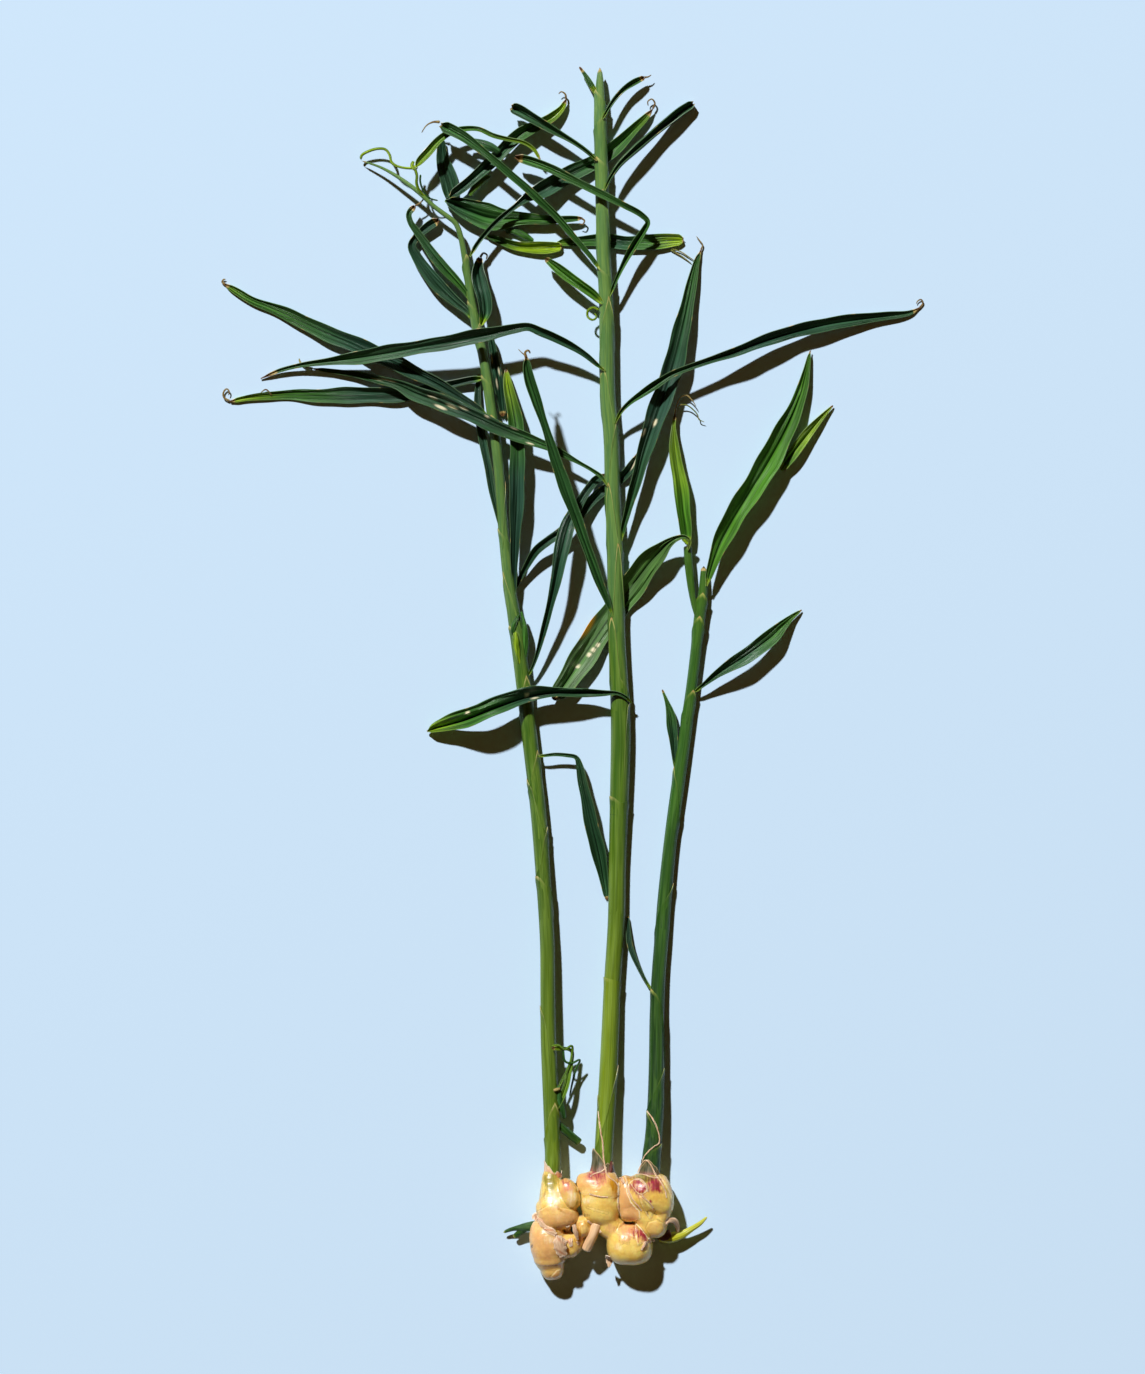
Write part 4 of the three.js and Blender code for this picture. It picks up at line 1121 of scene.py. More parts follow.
MIDDLE_BLADES = [
    Blade("leaf_middle_01", [(34.6, -18, 9, 1.8), (31.4, -14.6, 12.6, 1.8), (26, -12.2, 14.2, 2),
        (18, -12.2, 14, 3.4), (9, -12, 13, 4.6), (-1, -12, 12.4, 5.4), (-11, -11.8, 12.4, 6),
        (-20, -12.6, 12.8, 7.4), (-29, -14.4, 14.4, 8.8), (-38, -17, 17, 9.6), (-48, -20.4, 19.4, 10.6),
        (-58, -24.4, 18.6, 11.4), (-67, -27.8, 15, 10.8), (-76, -30.6, 10.4, 9), (-82.6, -32.6, 6.4, 6),
        (-87.6, -35, 2.6, 1.6)], roll=(0, -14, -8), tone=(0.3, 0.08, 0.85), crease=2.2, wave=2.4, dry=1,
        bleach=((62, -0.5, 3), (66, 0.3, 2), (104, 0.4, 2))),
    Blade("leaf_middle_02", [(23.4, 34, 11.6, 2), (20.4, 42, 13.6, 3), (16.4, 52, 16, 4.6),
        (12, 64, 18.6, 5.2), (7.6, 76, 21.2, 5.6), (3, 88.6, 23.8, 6), (-1.4, 101, 26.2, 6.6),
        (-6, 114, 28.6, 7.2), (-10.6, 127, 31, 6.6), (-14.6, 139, 33.2, 5), (-18.4, 151, 35.6, 4.4),
        (-22, 162, 38, 5.6), (-25.4, 172.6, 40, 6.6), (-27.4, 181, 41.6, 5), (-28.2, 188.6, 42.6, 2.4)],
        curl=(200, 110, 130), tone=(0.3, 0.25, 0.3), dry=3),
    Blade("leaf_middle_03", [(28.6, 79, 8.6, 2.2), (29.8, 87, 9, 3), (32.6, 97, 9.6, 4.2),
        (35.4, 107, 10.4, 5.6), (38.4, 118, 11.2, 6.8), (41.6, 130, 11.6, 8), (45.4, 142, 11.6, 9.8),
        (49.4, 153, 11.2, 11.6), (53.2, 164, 10.4, 12.6), (57, 175.4, 9.6, 12.4), (60.4, 187, 8.6, 11.8),
        (63.4, 199, 7.6, 10.6), (66.2, 211, 6.4, 9.2), (69, 224, 5, 7.6), (71.2, 236, 3.6, 5.6),
        (73.6, 246, 2.4, 3.6), (76.6, 254, 1.6, 1.4)], crease=0.7, tone=(0.3, 0.0, 0.4),
        bleach=((66, -0.7, 3), (74, 0.1, 3))),
    Blade("leaf_middle_04", [(20.4, 112, 11.6, 2.2), (17, 117, 12.4, 2.2), (11, 121.4, 13, 2),
        (4, 125.4, 13.4, 2.2), (-5, 130.2, 14, 3.6), (-14, 134.6, 14.6, 4.8), (-24, 138.6, 15, 6),
        (-35, 142.6, 15, 7.6), (-47, 147.6, 14.6, 8.6), (-59, 153.2, 13.8, 8.8), (-71, 158.2, 12.4, 9.4),
        (-83, 163.2, 10.6, 9.6), (-95, 167.8, 8.6, 9), (-105, 172.4, 6.8, 6), (-116, 175.4, 5, 5),
        (-128, 178.4, 3.6, 3.8), (-142, 180.8, 2.6, 2.6), (-156, 182.4, 2, 1.8)], crease=0.55,
        tone=(0.5, 0.1, 0.3), bleach=((106, 0.1, 5), (112, -0.5, 5), (99, 0.5, 4), (119, 0.2, 4),
        (84, 0.7, 2), (66, 0.8, 3), (54, -0.6, 3), (148, 0.5, 7), (155, 0.0, 5))),
    Blade("leaf_middle_05", [(25, 149.6, 10.4, 2), (28, 155.6, 13, 2), (33.4, 161.4, 15.4, 2.8),
        (41, 166.8, 16.6, 4.2), (49, 172.4, 17, 4.6), (58, 178, 17, 3.8), (69, 182.4, 16.4, 3.4),
        (81, 186.6, 15.4, 4.2), (94, 191, 14, 5.2), (109, 196.8, 12, 6.4), (124, 201.8, 9.8, 7.4),
        (139, 206, 7.6, 8), (154, 209.4, 5.6, 8), (171, 212, 3.6, 6.4), (188, 214, 2, 4.8),
        (202, 216.2, 1, 3), (208, 219.4, 1, 1.4)], curl=(200, 130, 90), tone=(0.4, 0.05, 0.2), stalk=14,
        dry=5),
    Blade("leaf_middle_06", [(19, 180.6, 11.8, 2.2), (14, 184.4, 13.4, 2.4), (7, 190, 15.6, 3.4),
        (-1, 195, 17.6, 4.2), (-10, 199.4, 19.4, 4.6), (-19, 203.4, 21, 5.2), (-27, 206.6, 22, 4.6),
        (-36, 205.2, 22, 5.8), (-46, 203, 22, 7.2), (-58, 200.6, 21.8, 8.2), (-72, 198, 21, 8.4),
        (-86, 195.6, 19.4, 8.2), (-100, 193.2, 17, 8.4), (-114, 190.8, 14.2, 8.8), (-126, 189, 11.6, 8),
        (-138, 187.6, 9, 6), (-150, 186.2, 6.8, 4), (-163, 184.4, 4.8, 2.8), (-176, 181.4, 2.8, 2.2),
        (-187.6, 176.6, 1.2, 1)], curl=(200, 50, 160), crease=0.5, tone=(0.15, 0.12, 0.35), dry=11),
    Blade("leaf_middle_07", [(17.6, 221, 11.6, 2.6), (12, 226, 12.8, 5), (5, 231, 13, 5.8),
        (-3, 237, 12, 6), (-10, 242.6, 10.6, 5.2), (-16.6, 248, 9, 3)], tone=(0.6, 0.5, 0.5),
        finish=FinishName.YOUNG_BLADE, curl=(180, 120, 120), dry=2),
    Blade("leaf_middle_08", [(21.4, 225, 11, 2), (25.4, 235, 12.4, 2), (31, 246.4, 12.8, 3.2),
        (37.4, 257.4, 13.2, 4.4), (42.6, 265.4, 14, 3.8), (44.4, 269.6, 15, 3), (40, 274, 16, 3.2),
        (31, 278.8, 16.8, 3.6), (20, 284.6, 17, 4), (9, 290, 16.4, 4.4), (-2, 295.6, 15, 4.8),
        (-13, 301, 13.4, 5.2), (-24, 305.4, 12.4, 5.4), (-35, 308.8, 11.6, 4)], curl=(220, 150, 90),
        tone=(0.5, 0.35, 0.4), dry=5),
    Blade("leaf_middle_09", [(16, 241, 11.6, 2.2), (11, 248, 12.8, 2.4), (5, 255.2, 13, 3),
        (-3, 264.6, 13, 3.8), (-11, 273.6, 13.2, 4.2), (-20, 282, 14.6, 4.4), (-31, 292.2, 16, 4.4),
        (-42, 301.6, 17, 4.2), (-53, 310.6, 17.6, 4.6), (-64, 319, 17, 5.6), (-73, 324.4, 15.6, 6.8),
        (-79.4, 327.6, 14.4, 6.6)], curl=(220, 150, 70), tone=(0.5, 0.3, 0.3), dry=0.6, crease=0.9),
    Blade("leaf_middle_10", [(18.6, 288.6, 13.6, 2), (21.4, 295, 14, 2.4), (27, 303.6, 13.4, 3.4),
        (36, 312.4, 11.8, 4.2), (46, 321.2, 9.4, 4.8), (56, 329.8, 6.8, 5.2), (64, 336.6, 4.8, 5.6),
        (72, 341.6, 3.4, 4.6)], curl=(300, 280, 220), tone=(0.5, 0.2, 0.15), wave=0.1, crease=0.5, dry=0.4),
    Blade("leaf_middle_11", [(14, 306.4, 12.8, 2), (9, 311, 13.4, 2.2), (2, 316.2, 13.4, 2.6),
        (-6, 321.2, 13, 3.4), (-15, 326.2, 12.6, 5), (-25, 332, 12, 6.4), (-32, 336, 11.4, 6.8),
        (-37.4, 338.4, 10.8, 6)], curl=(300, 220, 150), tone=(0.5, 0.25, 0.15), wave=0.1, crease=0.7,
        dry=0.4),
    Blade("leaf_middle_12", [(17.4, 331.4, 11.8, 1.8), (20.4, 337, 11.8, 2), (24.6, 343.4, 10.6, 2.4),
        (30, 349.2, 9, 3), (36.4, 353.6, 7.4, 3.6), (42.4, 356.8, 6, 2.6)], curl=(300, 240, 160),
        tone=(0.6, 0.3, 0.5), wave=0.1, crease=0.2, dry=3),
    Blade("leaf_middle_13", [(13.6, 347, 9, 2.6), (10.4, 352.4, 9, 3), (7, 358, 8, 2.2), (3.6, 363, 7, 1)],
        tone=(0.6, 0.4, 0.5), curl=(160, 120, 160), wave=0.1, crease=0.2, dry=4),
]

RIGHT_BLADES = [
    Blade("leaf_right_01", [(46.8, -190, 4.6, 1.4), (43.4, -184.6, 4.8, 1.4), (39.4, -177.4, 5, 2),
        (36, -169.6, 5, 2.8), (33.6, -161.6, 4.2, 3), (32.8, -153, 3, 2.4), (32.6, -146, 2, 1.4)],
        curl=(160, 120, 90), dry=1, wave=0.2),
    Blade("leaf_right_02", [(61.2, -58, 4.4, 1.6), (60.4, -49, 4.2, 3), (60, -40, 4.2, 5),
        (59.2, -32, 4.2, 6), (58, -24, 4, 4.8), (55.6, -16.4, 3.4, 2.2), (53.2, -10, 2.8, 1)],
        tone=(0.1, 0.2, 0.7), crease=0.6, dry=2),
    Blade("leaf_right_03", [(72.4, -11.4, 5.6, 1.8), (78, -7, 7.6, 2.2), (85, -1.4, 9.4, 4.4),
        (93, 3.8, 10.6, 7), (102, 9.6, 11, 9), (111, 16, 10.2, 9.6), (118.4, 21.6, 8.4, 8.8),
        (125, 28, 5.8, 6.2), (131, 33.4, 3.4, 3.2), (136.8, 37.8, 1.6, 1)], tone=(0.3, 0.15, 0.7),
        crease=0.5, dry=1.5),
    Blade("leaf_right_04", [(68.4, 73.6, 9.8, 1.8), (69.6, 78.6, 11.8, 1.8), (66.4, 81.4, 13.4, 2.2),
        (61.4, 80.4, 14, 3.6), (56.4, 77.4, 13, 6.4), (51, 72, 11, 11), (45.6, 66, 8.6, 13.6),
        (39.4, 58, 5.4, 14.8), (33.4, 50, 2.6, 15), (26.8, 41, 0.9, 15), (20, 31, 0.9, 15.2),
        (13, 20.4, 2, 15.4), (6, 10, 3.4, 15), (-0.8, 0, 4.6, 13.8), (-7, -9, 5.4, 11.4), (-12, -16, 6, 7)],
        curl=(120, 40, 50), tone=(0.4, 0.2, 0.15), crease=1.1, back=0.3, stalk=16, scorch=((92, 0.98, 11),),
        finish=FinishName.YOUNG_BLADE, bleach=((101, -0.35, 2), (104.6, -0.28, 1.6), (97, -0.45, 1.4),
        (114, -0.1, 1.1))),
    Blade("leaf_right_05", [(68.2, 77, 7, 4.4), (67.2, 86, 7.6, 7), (65.8, 96, 8, 8.4), (64.8, 106, 8, 8.6),
        (63.2, 117, 7.8, 7.8), (61.4, 128, 7.4, 6.8), (60.2, 138, 6.8, 5.2), (60, 147, 6, 2.6),
        (60.8, 155, 5.2, 1.4)], tone=(0.3, 0.7, 0.8), finish=FinishName.YOUNG_BLADE, crease=0.6, dry=4),
    Blade("leaf_right_06", [(79.6, 52, 8.8, 2.6), (83, 65, 9.6, 6), (88, 78, 9.8, 9.4),
        (94.4, 90, 9.8, 11.6), (102, 102.6, 9.4, 13), (110, 115.6, 9, 13.8), (118, 129, 8.4, 13.6),
        (125.4, 142.4, 7.6, 12.4), (131.6, 155.6, 6.6, 10), (136.4, 168.6, 5.4, 7), (139.6, 181.4, 4, 4),
        (142, 193.4, 2.8, 1.2)], curl=(120, 90, 80), tone=(0.5, 0.3, 0.4), finish=FinishName.YOUNG_BLADE,
        crease=0.8, dry=2),
    Blade("leaf_right_07", [(124.4, 121.6, 5.2, 4), (130, 129.6, 5, 6), (136.6, 138.4, 4.4, 6.6),
        (143.4, 147, 3.6, 5), (150, 154.6, 2.6, 3), (155.6, 160.4, 1.8, 1)], tone=(0.5, 0.8, 0.9),
        finish=FinishName.YOUNG_BLADE, dry=2),
]

TENDRILS = [
    Tendril("stalk_tip", [(-127.4, 307.4, 4.4, 1.6), (-127, 310, 5.2, 1.7), (-122.6, 312.6, 6.4, 1.8),
        (-117, 314, 7.6, 1.7), (-112.6, 313.4, 8.6, 1.6), (-110, 310, 9.6, 1.6), (-109, 306, 10.8, 1.5),
        (-106, 303.4, 12, 1.5), (-101, 302, 13.6, 1.5), (-95.4, 301.6, 15.4, 1.6)], dry=0.1, tone=0.95),
    Tendril("left_08_tip", [(-206, 163, 1.3, 1.6), (-209.4, 165, 1.6, 1.3), (-210, 168, 1.8, 1.1),
        (-208, 170.4, 2, 1), (-206.4, 168.6, 2.2, 0.9), (-207, 166.4, 2.2, 0.6)]),
    Tendril("left_07_tip", [(-209, 233, 1, 1.8), (-210.6, 234.6, 1.2, 1.3), (-209.8, 236, 1.4, 1),
        (-208.6, 236, 1.5, 0.6)]),
    Tendril("left_08_edge", [(-181, 166.4, 1.2, 1), (-182.6, 168.6, 1.6, 0.9), (-184.6, 170, 1.8, 0.9),
        (-187.8, 168, 1.4, 0.5)]),
    Tendril("left_12_tip", [(-95, 279.6, 8.8, 1.2), (-91.6, 281.6, 8.8, 1), (-89.6, 284.6, 9, 0.8),
        (-91, 287, 9.2, 0.5)]),
    Tendril("left_13_tip", [(47.4, 338, 3.4, 1.4), (48.8, 341.4, 3.6, 1.1), (47, 344, 3.8, 0.9),
        (44.6, 342.6, 3.8, 0.8), (44.8, 339.8, 3.6, 0.6)]),
    Tendril("left_15_tip", [(4.6, 272.6, 4.6, 1.2), (6.6, 271, 4.8, 1), (5.4, 268.8, 5, 0.8),
        (3, 269.4, 5, 0.6)]),
    Tendril("left_17_tip", [(-4.4, 344, 3.6, 1.4), (-5, 347, 3.8, 1.1), (-7.4, 348.4, 3.8, 0.8),
        (-9, 347, 3.6, 0.5)]),
    Tendril("left_19_a", [(58, 254.6, 1.6, 1), (64, 252.8, 1.6, 0.8), (69, 249.6, 1.4, 0.7),
        (73, 247, 1.2, 0.4)], dry=0.5),
    Tendril("left_19_b", [(58, 254, 1.4, 0.9), (66, 249.2, 1.2, 0.7), (71, 245.4, 1, 0.4)], dry=0.5),
    Tendril("left_01_loop", [(-13.4, -223, 16.4, 1.6), (-9, -222.6, 16.8, 1.6), (-5.4, -225, 15.6, 1.5),
        (-1, -223, 13, 1.4), (-0.9, -229, 12, 1.5), (-3.4, -237, 11.8, 1.7), (-7, -244.4, 12, 1.8),
        (-9.4, -249, 12.4, 1.4)], dry=0.1),
    Tendril("left_01_strand", [(-6.2, -225, 15, 1.2), (-5, -232.2, 13.4, 1.4), (-1, -233.4, 12, 1.3),
        (3.8, -231.4, 10.6, 1.2), (1.2, -238, 9, 1.3), (-0.8, -246, 7.4, 1.2), (-2.4, -254, 6, 0.9)],
        dry=0.2, tone=0.4),
    Tendril("left_01_base", [(-9.4, -247, 13.6, 2.6), (-8.4, -255, 13, 3.8), (-6.4, -262, 11.6, 3.4),
        (-5.4, -267, 10, 2)], dry=0.1, tone=0.3),
    Tendril("left_01_bud", [(-12, -249.6, 16, 1.8), (-10, -249, 16, 2), (-8, -248.4, 15, 1.4)], dry=0.6),
    Tendril("left_pocket", [(-31.4, 37, 8.6, 1.6), (-30, 31, 9.4, 2.8), (-29, 25, 9.6, 4),
        (-28.8, 17, 9, 4.2), (-29.4, 10, 8.4, 3.4), (-30.4, 2, 7.6, 1.6)], dry=0.0, tone=0.5),
    Tendril("left_pocket_mouth", [(-32.8, 35, 10.6, 1.4), (-34.8, 30.4, 11.2, 3.4), (-36, 26, 11.2, 3.2),
        (-36, 22, 11, 1.6)], dry=0.0, tone=0.15, finish=FinishName.YOUNG_BLADE),
    Tendril("left_pocket_bud", [(-35, 24.6, 11.2, 2.6), (-34.6, 19.4, 11.6, 4.2), (-33.6, 13, 11.4, 3.6),
        (-32.4, 5, 10.4, 1.4)], dry=0.0, tone=0.85),
    Tendril("middle_red", [(22.8, -291.4, 16.8, 1), (22.2, -295, 17.4, 2.6), (21.6, -299, 18, 3.2),
        (20.6, -302.4, 18.6, 1.6)], dry=0.0, finish=FinishName.HOLLOW),
    Tendril("middle_02_tip", [(-28.2, 187, 42.4, 1.8), (-28.6, 190.4, 42.4, 1.4), (-26.8, 191.4, 42, 1.2),
        (-25.6, 189.6, 41.6, 0.8)]),
    Tendril("middle_02_thread", [(-29, 188.6, 42, 0.8), (-31, 190.4, 41.6, 0.6),
        (-32.8, 192.2, 41.4, 0.4)]),
    Tendril("middle_03_tip", [(76.4, 253.6, 1.6, 1.2), (77.4, 256.6, 1.6, 0.9), (75.6, 259.4, 1.6, 0.7),
        (73.6, 262, 1.4, 0.4)]),
    Tendril("middle_04_tip", [(-156, 182.4, 2, 1.6), (-161, 183.8, 1.8, 1.4), (-164, 186.6, 1.6, 1.2),
        (-164.6, 188.8, 1.4, 0.7)], dry=0.5),
    Tendril("middle_05_tip", [(207.6, 219, 1, 1.3), (209.6, 221.8, 1.2, 1.1), (208.4, 224, 1.4, 0.9),
        (206.2, 222.8, 1.4, 0.7), (205.8, 221.2, 1.3, 0.5)]),
    Tendril("middle_07_ring", [(15.4, 217, 12.2, 1.8), (11.8, 218.6, 12.2, 1.7), (8.6, 216.6, 12, 1.5),
        (8.6, 213, 11.8, 1.4), (11.6, 211.2, 11.8, 1.3), (13.8, 213, 12, 1.2), (12.6, 215.4, 12.2, 0.8)],
        dry=0.1, tone=0.9),
    Tendril("middle_09_tip", [(-79.6, 329.4, 14.4, 2), (-84, 329.4, 13.6, 1.2), (-88, 327.4, 12.6, 0.8),
        (-91, 323, 11.6, 0.5)]),
    Tendril("middle_12_tip", [(42.4, 356.8, 6, 1.4), (44.8, 357.2, 5.6, 0.9), (46.6, 358.4, 5.2, 0.5)]),
    Tendril("right_05_a", [(60.6, 154, 5.2, 1.4), (61.6, 160, 5, 1.1), (64, 164.8, 5, 1),
        (67.6, 166.4, 5, 0.9), (71, 163.6, 4.6, 0.7), (73.6, 159.6, 4, 0.4)], dry=0.75),
    Tendril("right_05_b", [(61.6, 158, 4.4, 0.9), (64, 160.6, 4.4, 0.9), (68, 160.4, 4.4, 0.8),
        (72, 157.6, 4, 0.8), (74.4, 154.6, 3.6, 0.7), (75.2, 152, 3.2, 0.7), (78.6, 150.4, 2.8, 0.4)],
        dry=0.5),
    Tendril("left_09_tip", [(-56, 249, 5, 1.6), (-54, 251.6, 5, 1.2), (-51.8, 250.4, 5, 1),
        (-52.4, 248, 4.8, 0.6)]),
    Tendril("left_18_knot", [(-95.6, 306, 15.6, 1.6), (-96.4, 303.4, 16, 2.4), (-95, 301.4, 16.2, 2.6),
        (-93.6, 303, 16, 2.2)], dry=0.1, tone=0.9),
    Tendril("left_18_strand", [(-94.6, 301, 16, 1.8), (-93.6, 297, 16, 1.7), (-93.8, 292.6, 15.6, 1.8),
        (-92, 288, 14.6, 1.8), (-88, 284, 13, 1.6)], dry=0.1, tone=0.8),
    Tendril("left_18_thread", [(-91.4, 298, 15.4, 1.2), (-91.6, 293.6, 15.2, 1.2), (-89.6, 288, 14, 1.1),
        (-86, 284, 12.6, 1), (-81, 282.6, 11, 0.9)], dry=0.2, tone=0.3),
    Tendril("left_16_side", [(-64.6, 318.6, 9.4, 2.6), (-58, 317.6, 9, 4.6), (-50, 315, 8.6, 5.4),
        (-44, 311.6, 8.4, 3.6)], dry=0.0, tone=0.25),
    Tendril("left_17_side", [(-62.6, 285.6, 6.4, 3.4), (-59, 290.6, 6.4, 4.6), (-54.4, 295.6, 6.4, 4.6),
        (-49.6, 298, 6.2, 2)], dry=0.0, tone=0.6, finish=FinishName.YOUNG_BLADE),
    Tendril("left_15_side", [(-41, 265.6, 3, 3.4), (-35.6, 264.8, 3, 4.4), (-29, 261.8, 2.8, 4.4),
        (-24, 258.6, 2.6, 2.8)], dry=0.0, tone=0.5),
]


# --- Stems ----------------------------------------------------------------------------------


@dataclass(frozen=True)
class Lip:
    """The upper edge of one leaf sheath: its tip, and how far the edge falls away from the tip."""

    y: float
    angle: float
    edge: tuple[tuple[float, float], ...]  # (degrees from the tip, fall in mm)
    cream: float = 1.0  # how strongly the tip's small ligule shows
    tone: float = 0.5  # 0 for a dark sheath, 1 for a light one


@dataclass
class Stem:
    """One stem: its route and the lips of its sheaths from the rhizome upwards."""

    node: str
    points: list[Point]
    lips: list[Lip]
    finish: FinishName


SHORT = ((0, 0), (60, 4), (120, 9), (180, 12))
LONG = ((0, 0), (50, 14), (90, 34), (130, 48), (180, 56))

STEMS = [
    Stem("stem_left", [(-13.2, -304, 13, 9), (-12.4, -292, 12.6, 9), (-13.4, -262, 11.6, 8.8),
        (-15, -220, 10.6, 8.8), (-15.4, -190, 10, 8.4), (-15.8, -160, 9, 8.3), (-18, -124, 7.2, 8.4),
        (-21.2, -82, 5.6, 8.8), (-25.4, -46, 5.4, 8.8), (-29.4, -12, 5.8, 8.4), (-33.4, 20, 6.8, 8.2),
        (-38.6, 54, 7.4, 6.4), (-42, 85, 8, 5.6), (-44.2, 116, 8.3, 5.6), (-46.7, 140, 8.5, 5.8),
        (-50.2, 164, 8.7, 5.6), (-54.2, 190, 8.8, 5.4), (-58, 206, 9, 5.2), (-61.2, 224, 9.4, 4.4),
        (-65, 248, 10.2, 4.2), (-67.5, 261, 11, 3.8), (-70.5, 269, 11.6, 3.6), (-76, 273.5, 12.2, 3.4),
        (-84, 279.5, 12.6, 3.2), (-92, 287, 12.8, 3.2), (-99, 292.5, 12.4, 3), (-107, 298, 11, 2.6),
        (-116, 303, 8, 2), (-127, 307, 4, 1.4)],
        [Lip(-258, 60, ((0, 0), (40, 6), (90, 20), (180, 26)), 1.0, 0.45),
        Lip(-200, 172, ((0, 0), (50, 6), (80, 18), (90, 55), (180, 62)), 1.6, 0.3),
        Lip(-122, 150, ((0, 0), (40, 2), (80, 7), (120, 8), (180, 30)), 1.8, 0.2),
        Lip(-92, 15, ((0, 0), (50, 8), (90, 24), (180, 34)), 1.2, 0.25),
        Lip(-64, 160, ((0, 0), (40, 6), (90, 30), (180, 40)), 1.4, 0.4),
        Lip(-48, 40, ((0, 0), (40, 8), (90, 20), (180, 28)), 1.4),
        Lip(-3, 60, ((0, 0), (50, 10), (90, 22), (180, 30)), 1.3), Lip(28, 150, SHORT, 1.0),
        Lip(60, 140, LONG, 1.2), Lip(86, 160, SHORT, 1.2), Lip(114, 10, LONG, 1.5),
        Lip(154, 100, SHORT, 1.5), Lip(178, 150, SHORT), Lip(208, 40, SHORT), Lip(222, 150, SHORT),
        Lip(249, 60, SHORT)], FinishName.STEM_PALE),
    Stem("stem_middle", [(17.6, -304, 13.4, 12), (17.8, -292, 12.6, 10.6), (19, -270, 10.6, 10.4),
        (20.6, -246, 8.6, 10.4), (22.2, -212, 6.6, 10), (23.4, -184, 5.8, 9.6), (25.6, -150, 5.2, 9.8),
        (26.2, -116, 5.2, 9.8), (27.4, -76, 5.8, 10.8), (28.3, -34, 6.2, 11.4), (27.2, -4, 6.8, 10.4),
        (26, 20, 7.2, 9.8), (25.3, 50, 7.2, 9.4), (24.6, 80, 7, 9.2), (23.4, 108, 7, 8.9),
        (22.6, 140, 7, 8.8), (20.7, 164, 7.4, 8.6), (20, 196, 7.8, 8.4), (19.5, 224, 8.4, 8.2),
        (18, 250, 8.8, 7.6), (17.2, 276, 9, 7.4), (16.8, 300, 9, 7.6), (15.9, 332, 8.6, 7),
        (15.8, 352, 8, 5.4), (15.8, 362.6, 7.6, 2.6)],
        [Lip(-253, 172, ((0, 0), (40, 10), (60, 40), (90, 60), (180, 70)), 0.6, 0.2),
        Lip(-235, 12, ((0, 0), (40, 12), (80, 34), (130, 50), (180, 56)), 1.0, 0.35),
        Lip(-183, 170, ((0, 0), (60, 1), (120, 2), (180, 4)), 0.3, 0.75),
        Lip(-74, 160, ((0, 0), (40, 1), (80, 4), (120, 3), (180, 6)), 0.8),
        Lip(-17, 8, ((0, 0), (36, 4), (54, 20), (62, 118), (180, 130)), 2.0, 0.2),
        Lip(34, 124, ((0, 0), (24, 8), (44, 38), (180, 60)), 1.5),
        Lip(80, 66, ((0, 0), (20, 12), (40, 40), (180, 60)), 1.4),
        Lip(114.5, 118, ((0, 0), (20, 8), (50, 36), (180, 50)), 1.5),
        Lip(151, 32, ((0, 0), (26, 6), (56, 14), (84, 34), (180, 60)), 1.6),
        Lip(183, 124, ((0, 0), (30, 6), (60, 28), (180, 50)), 1.2), Lip(224, 70, LONG, 1.2),
        Lip(243, 150, SHORT, 1.0), Lip(290, 84, LONG, 1.2), Lip(309, 130, SHORT, 1.2),
        Lip(333, 44, SHORT, 1.4), Lip(349, 140, SHORT, 0.8)], FinishName.STEM_PALE),
    Stem("stem_right", [(46.2, -304, 13.4, 11.4), (46.4, -292, 12.6, 10.8), (47.8, -278, 11.4, 9.8),
        (49.2, -258, 9.6, 9.4), (49.7, -232, 7.8, 8.6), (50, -204, 6.6, 8.2), (51.2, -178, 5.4, 7.9),
        (52.9, -158, 4.7, 8), (54.4, -138, 4.3, 8), (58.2, -100, 4, 7.3), (63.4, -62, 4, 7.4),
        (66.8, -38, 4, 7), (70.6, -10, 4.4, 6.2), (73.4, 14, 5, 6), (75.6, 34, 5.6, 6.4),
        (77.6, 50, 6, 5.8), (78, 64, 6.4, 3.6)],
        [Lip(-281, 20, ((0, 0), (70, 5), (150, 11), (180, 12)), 1.0, 0.2),
        Lip(-262, 165, ((0, 0), (60, 8), (145, 19), (180, 20)), 1.0, 0.3),
        Lip(-236, 15, ((0, 0), (50, 8), (110, 20), (150, 26), (180, 28)), 0.7),
        Lip(-190, 150, ((0, 0), (50, 3), (100, 10), (130, 26), (150, 48), (180, 56)), 1.4, 0.15),
        Lip(-126, 10, ((0, 0), (60, 8), (120, 18), (165, 30), (180, 32)), 1.2, 0.7),
        Lip(-57, 160, ((0, 0), (60, 10), (120, 28), (180, 40)), 1.2, 0.3),
        Lip(-10, 70, ((0, 0), (50, 4), (90, 14), (180, 26)), 1.4),
        Lip(34, 90, ((0, 0), (50, 4), (90, 10), (180, 20)), 1.4), Lip(48, 90, SHORT, 1.0)],
        FinishName.STEM_GREEN),
]


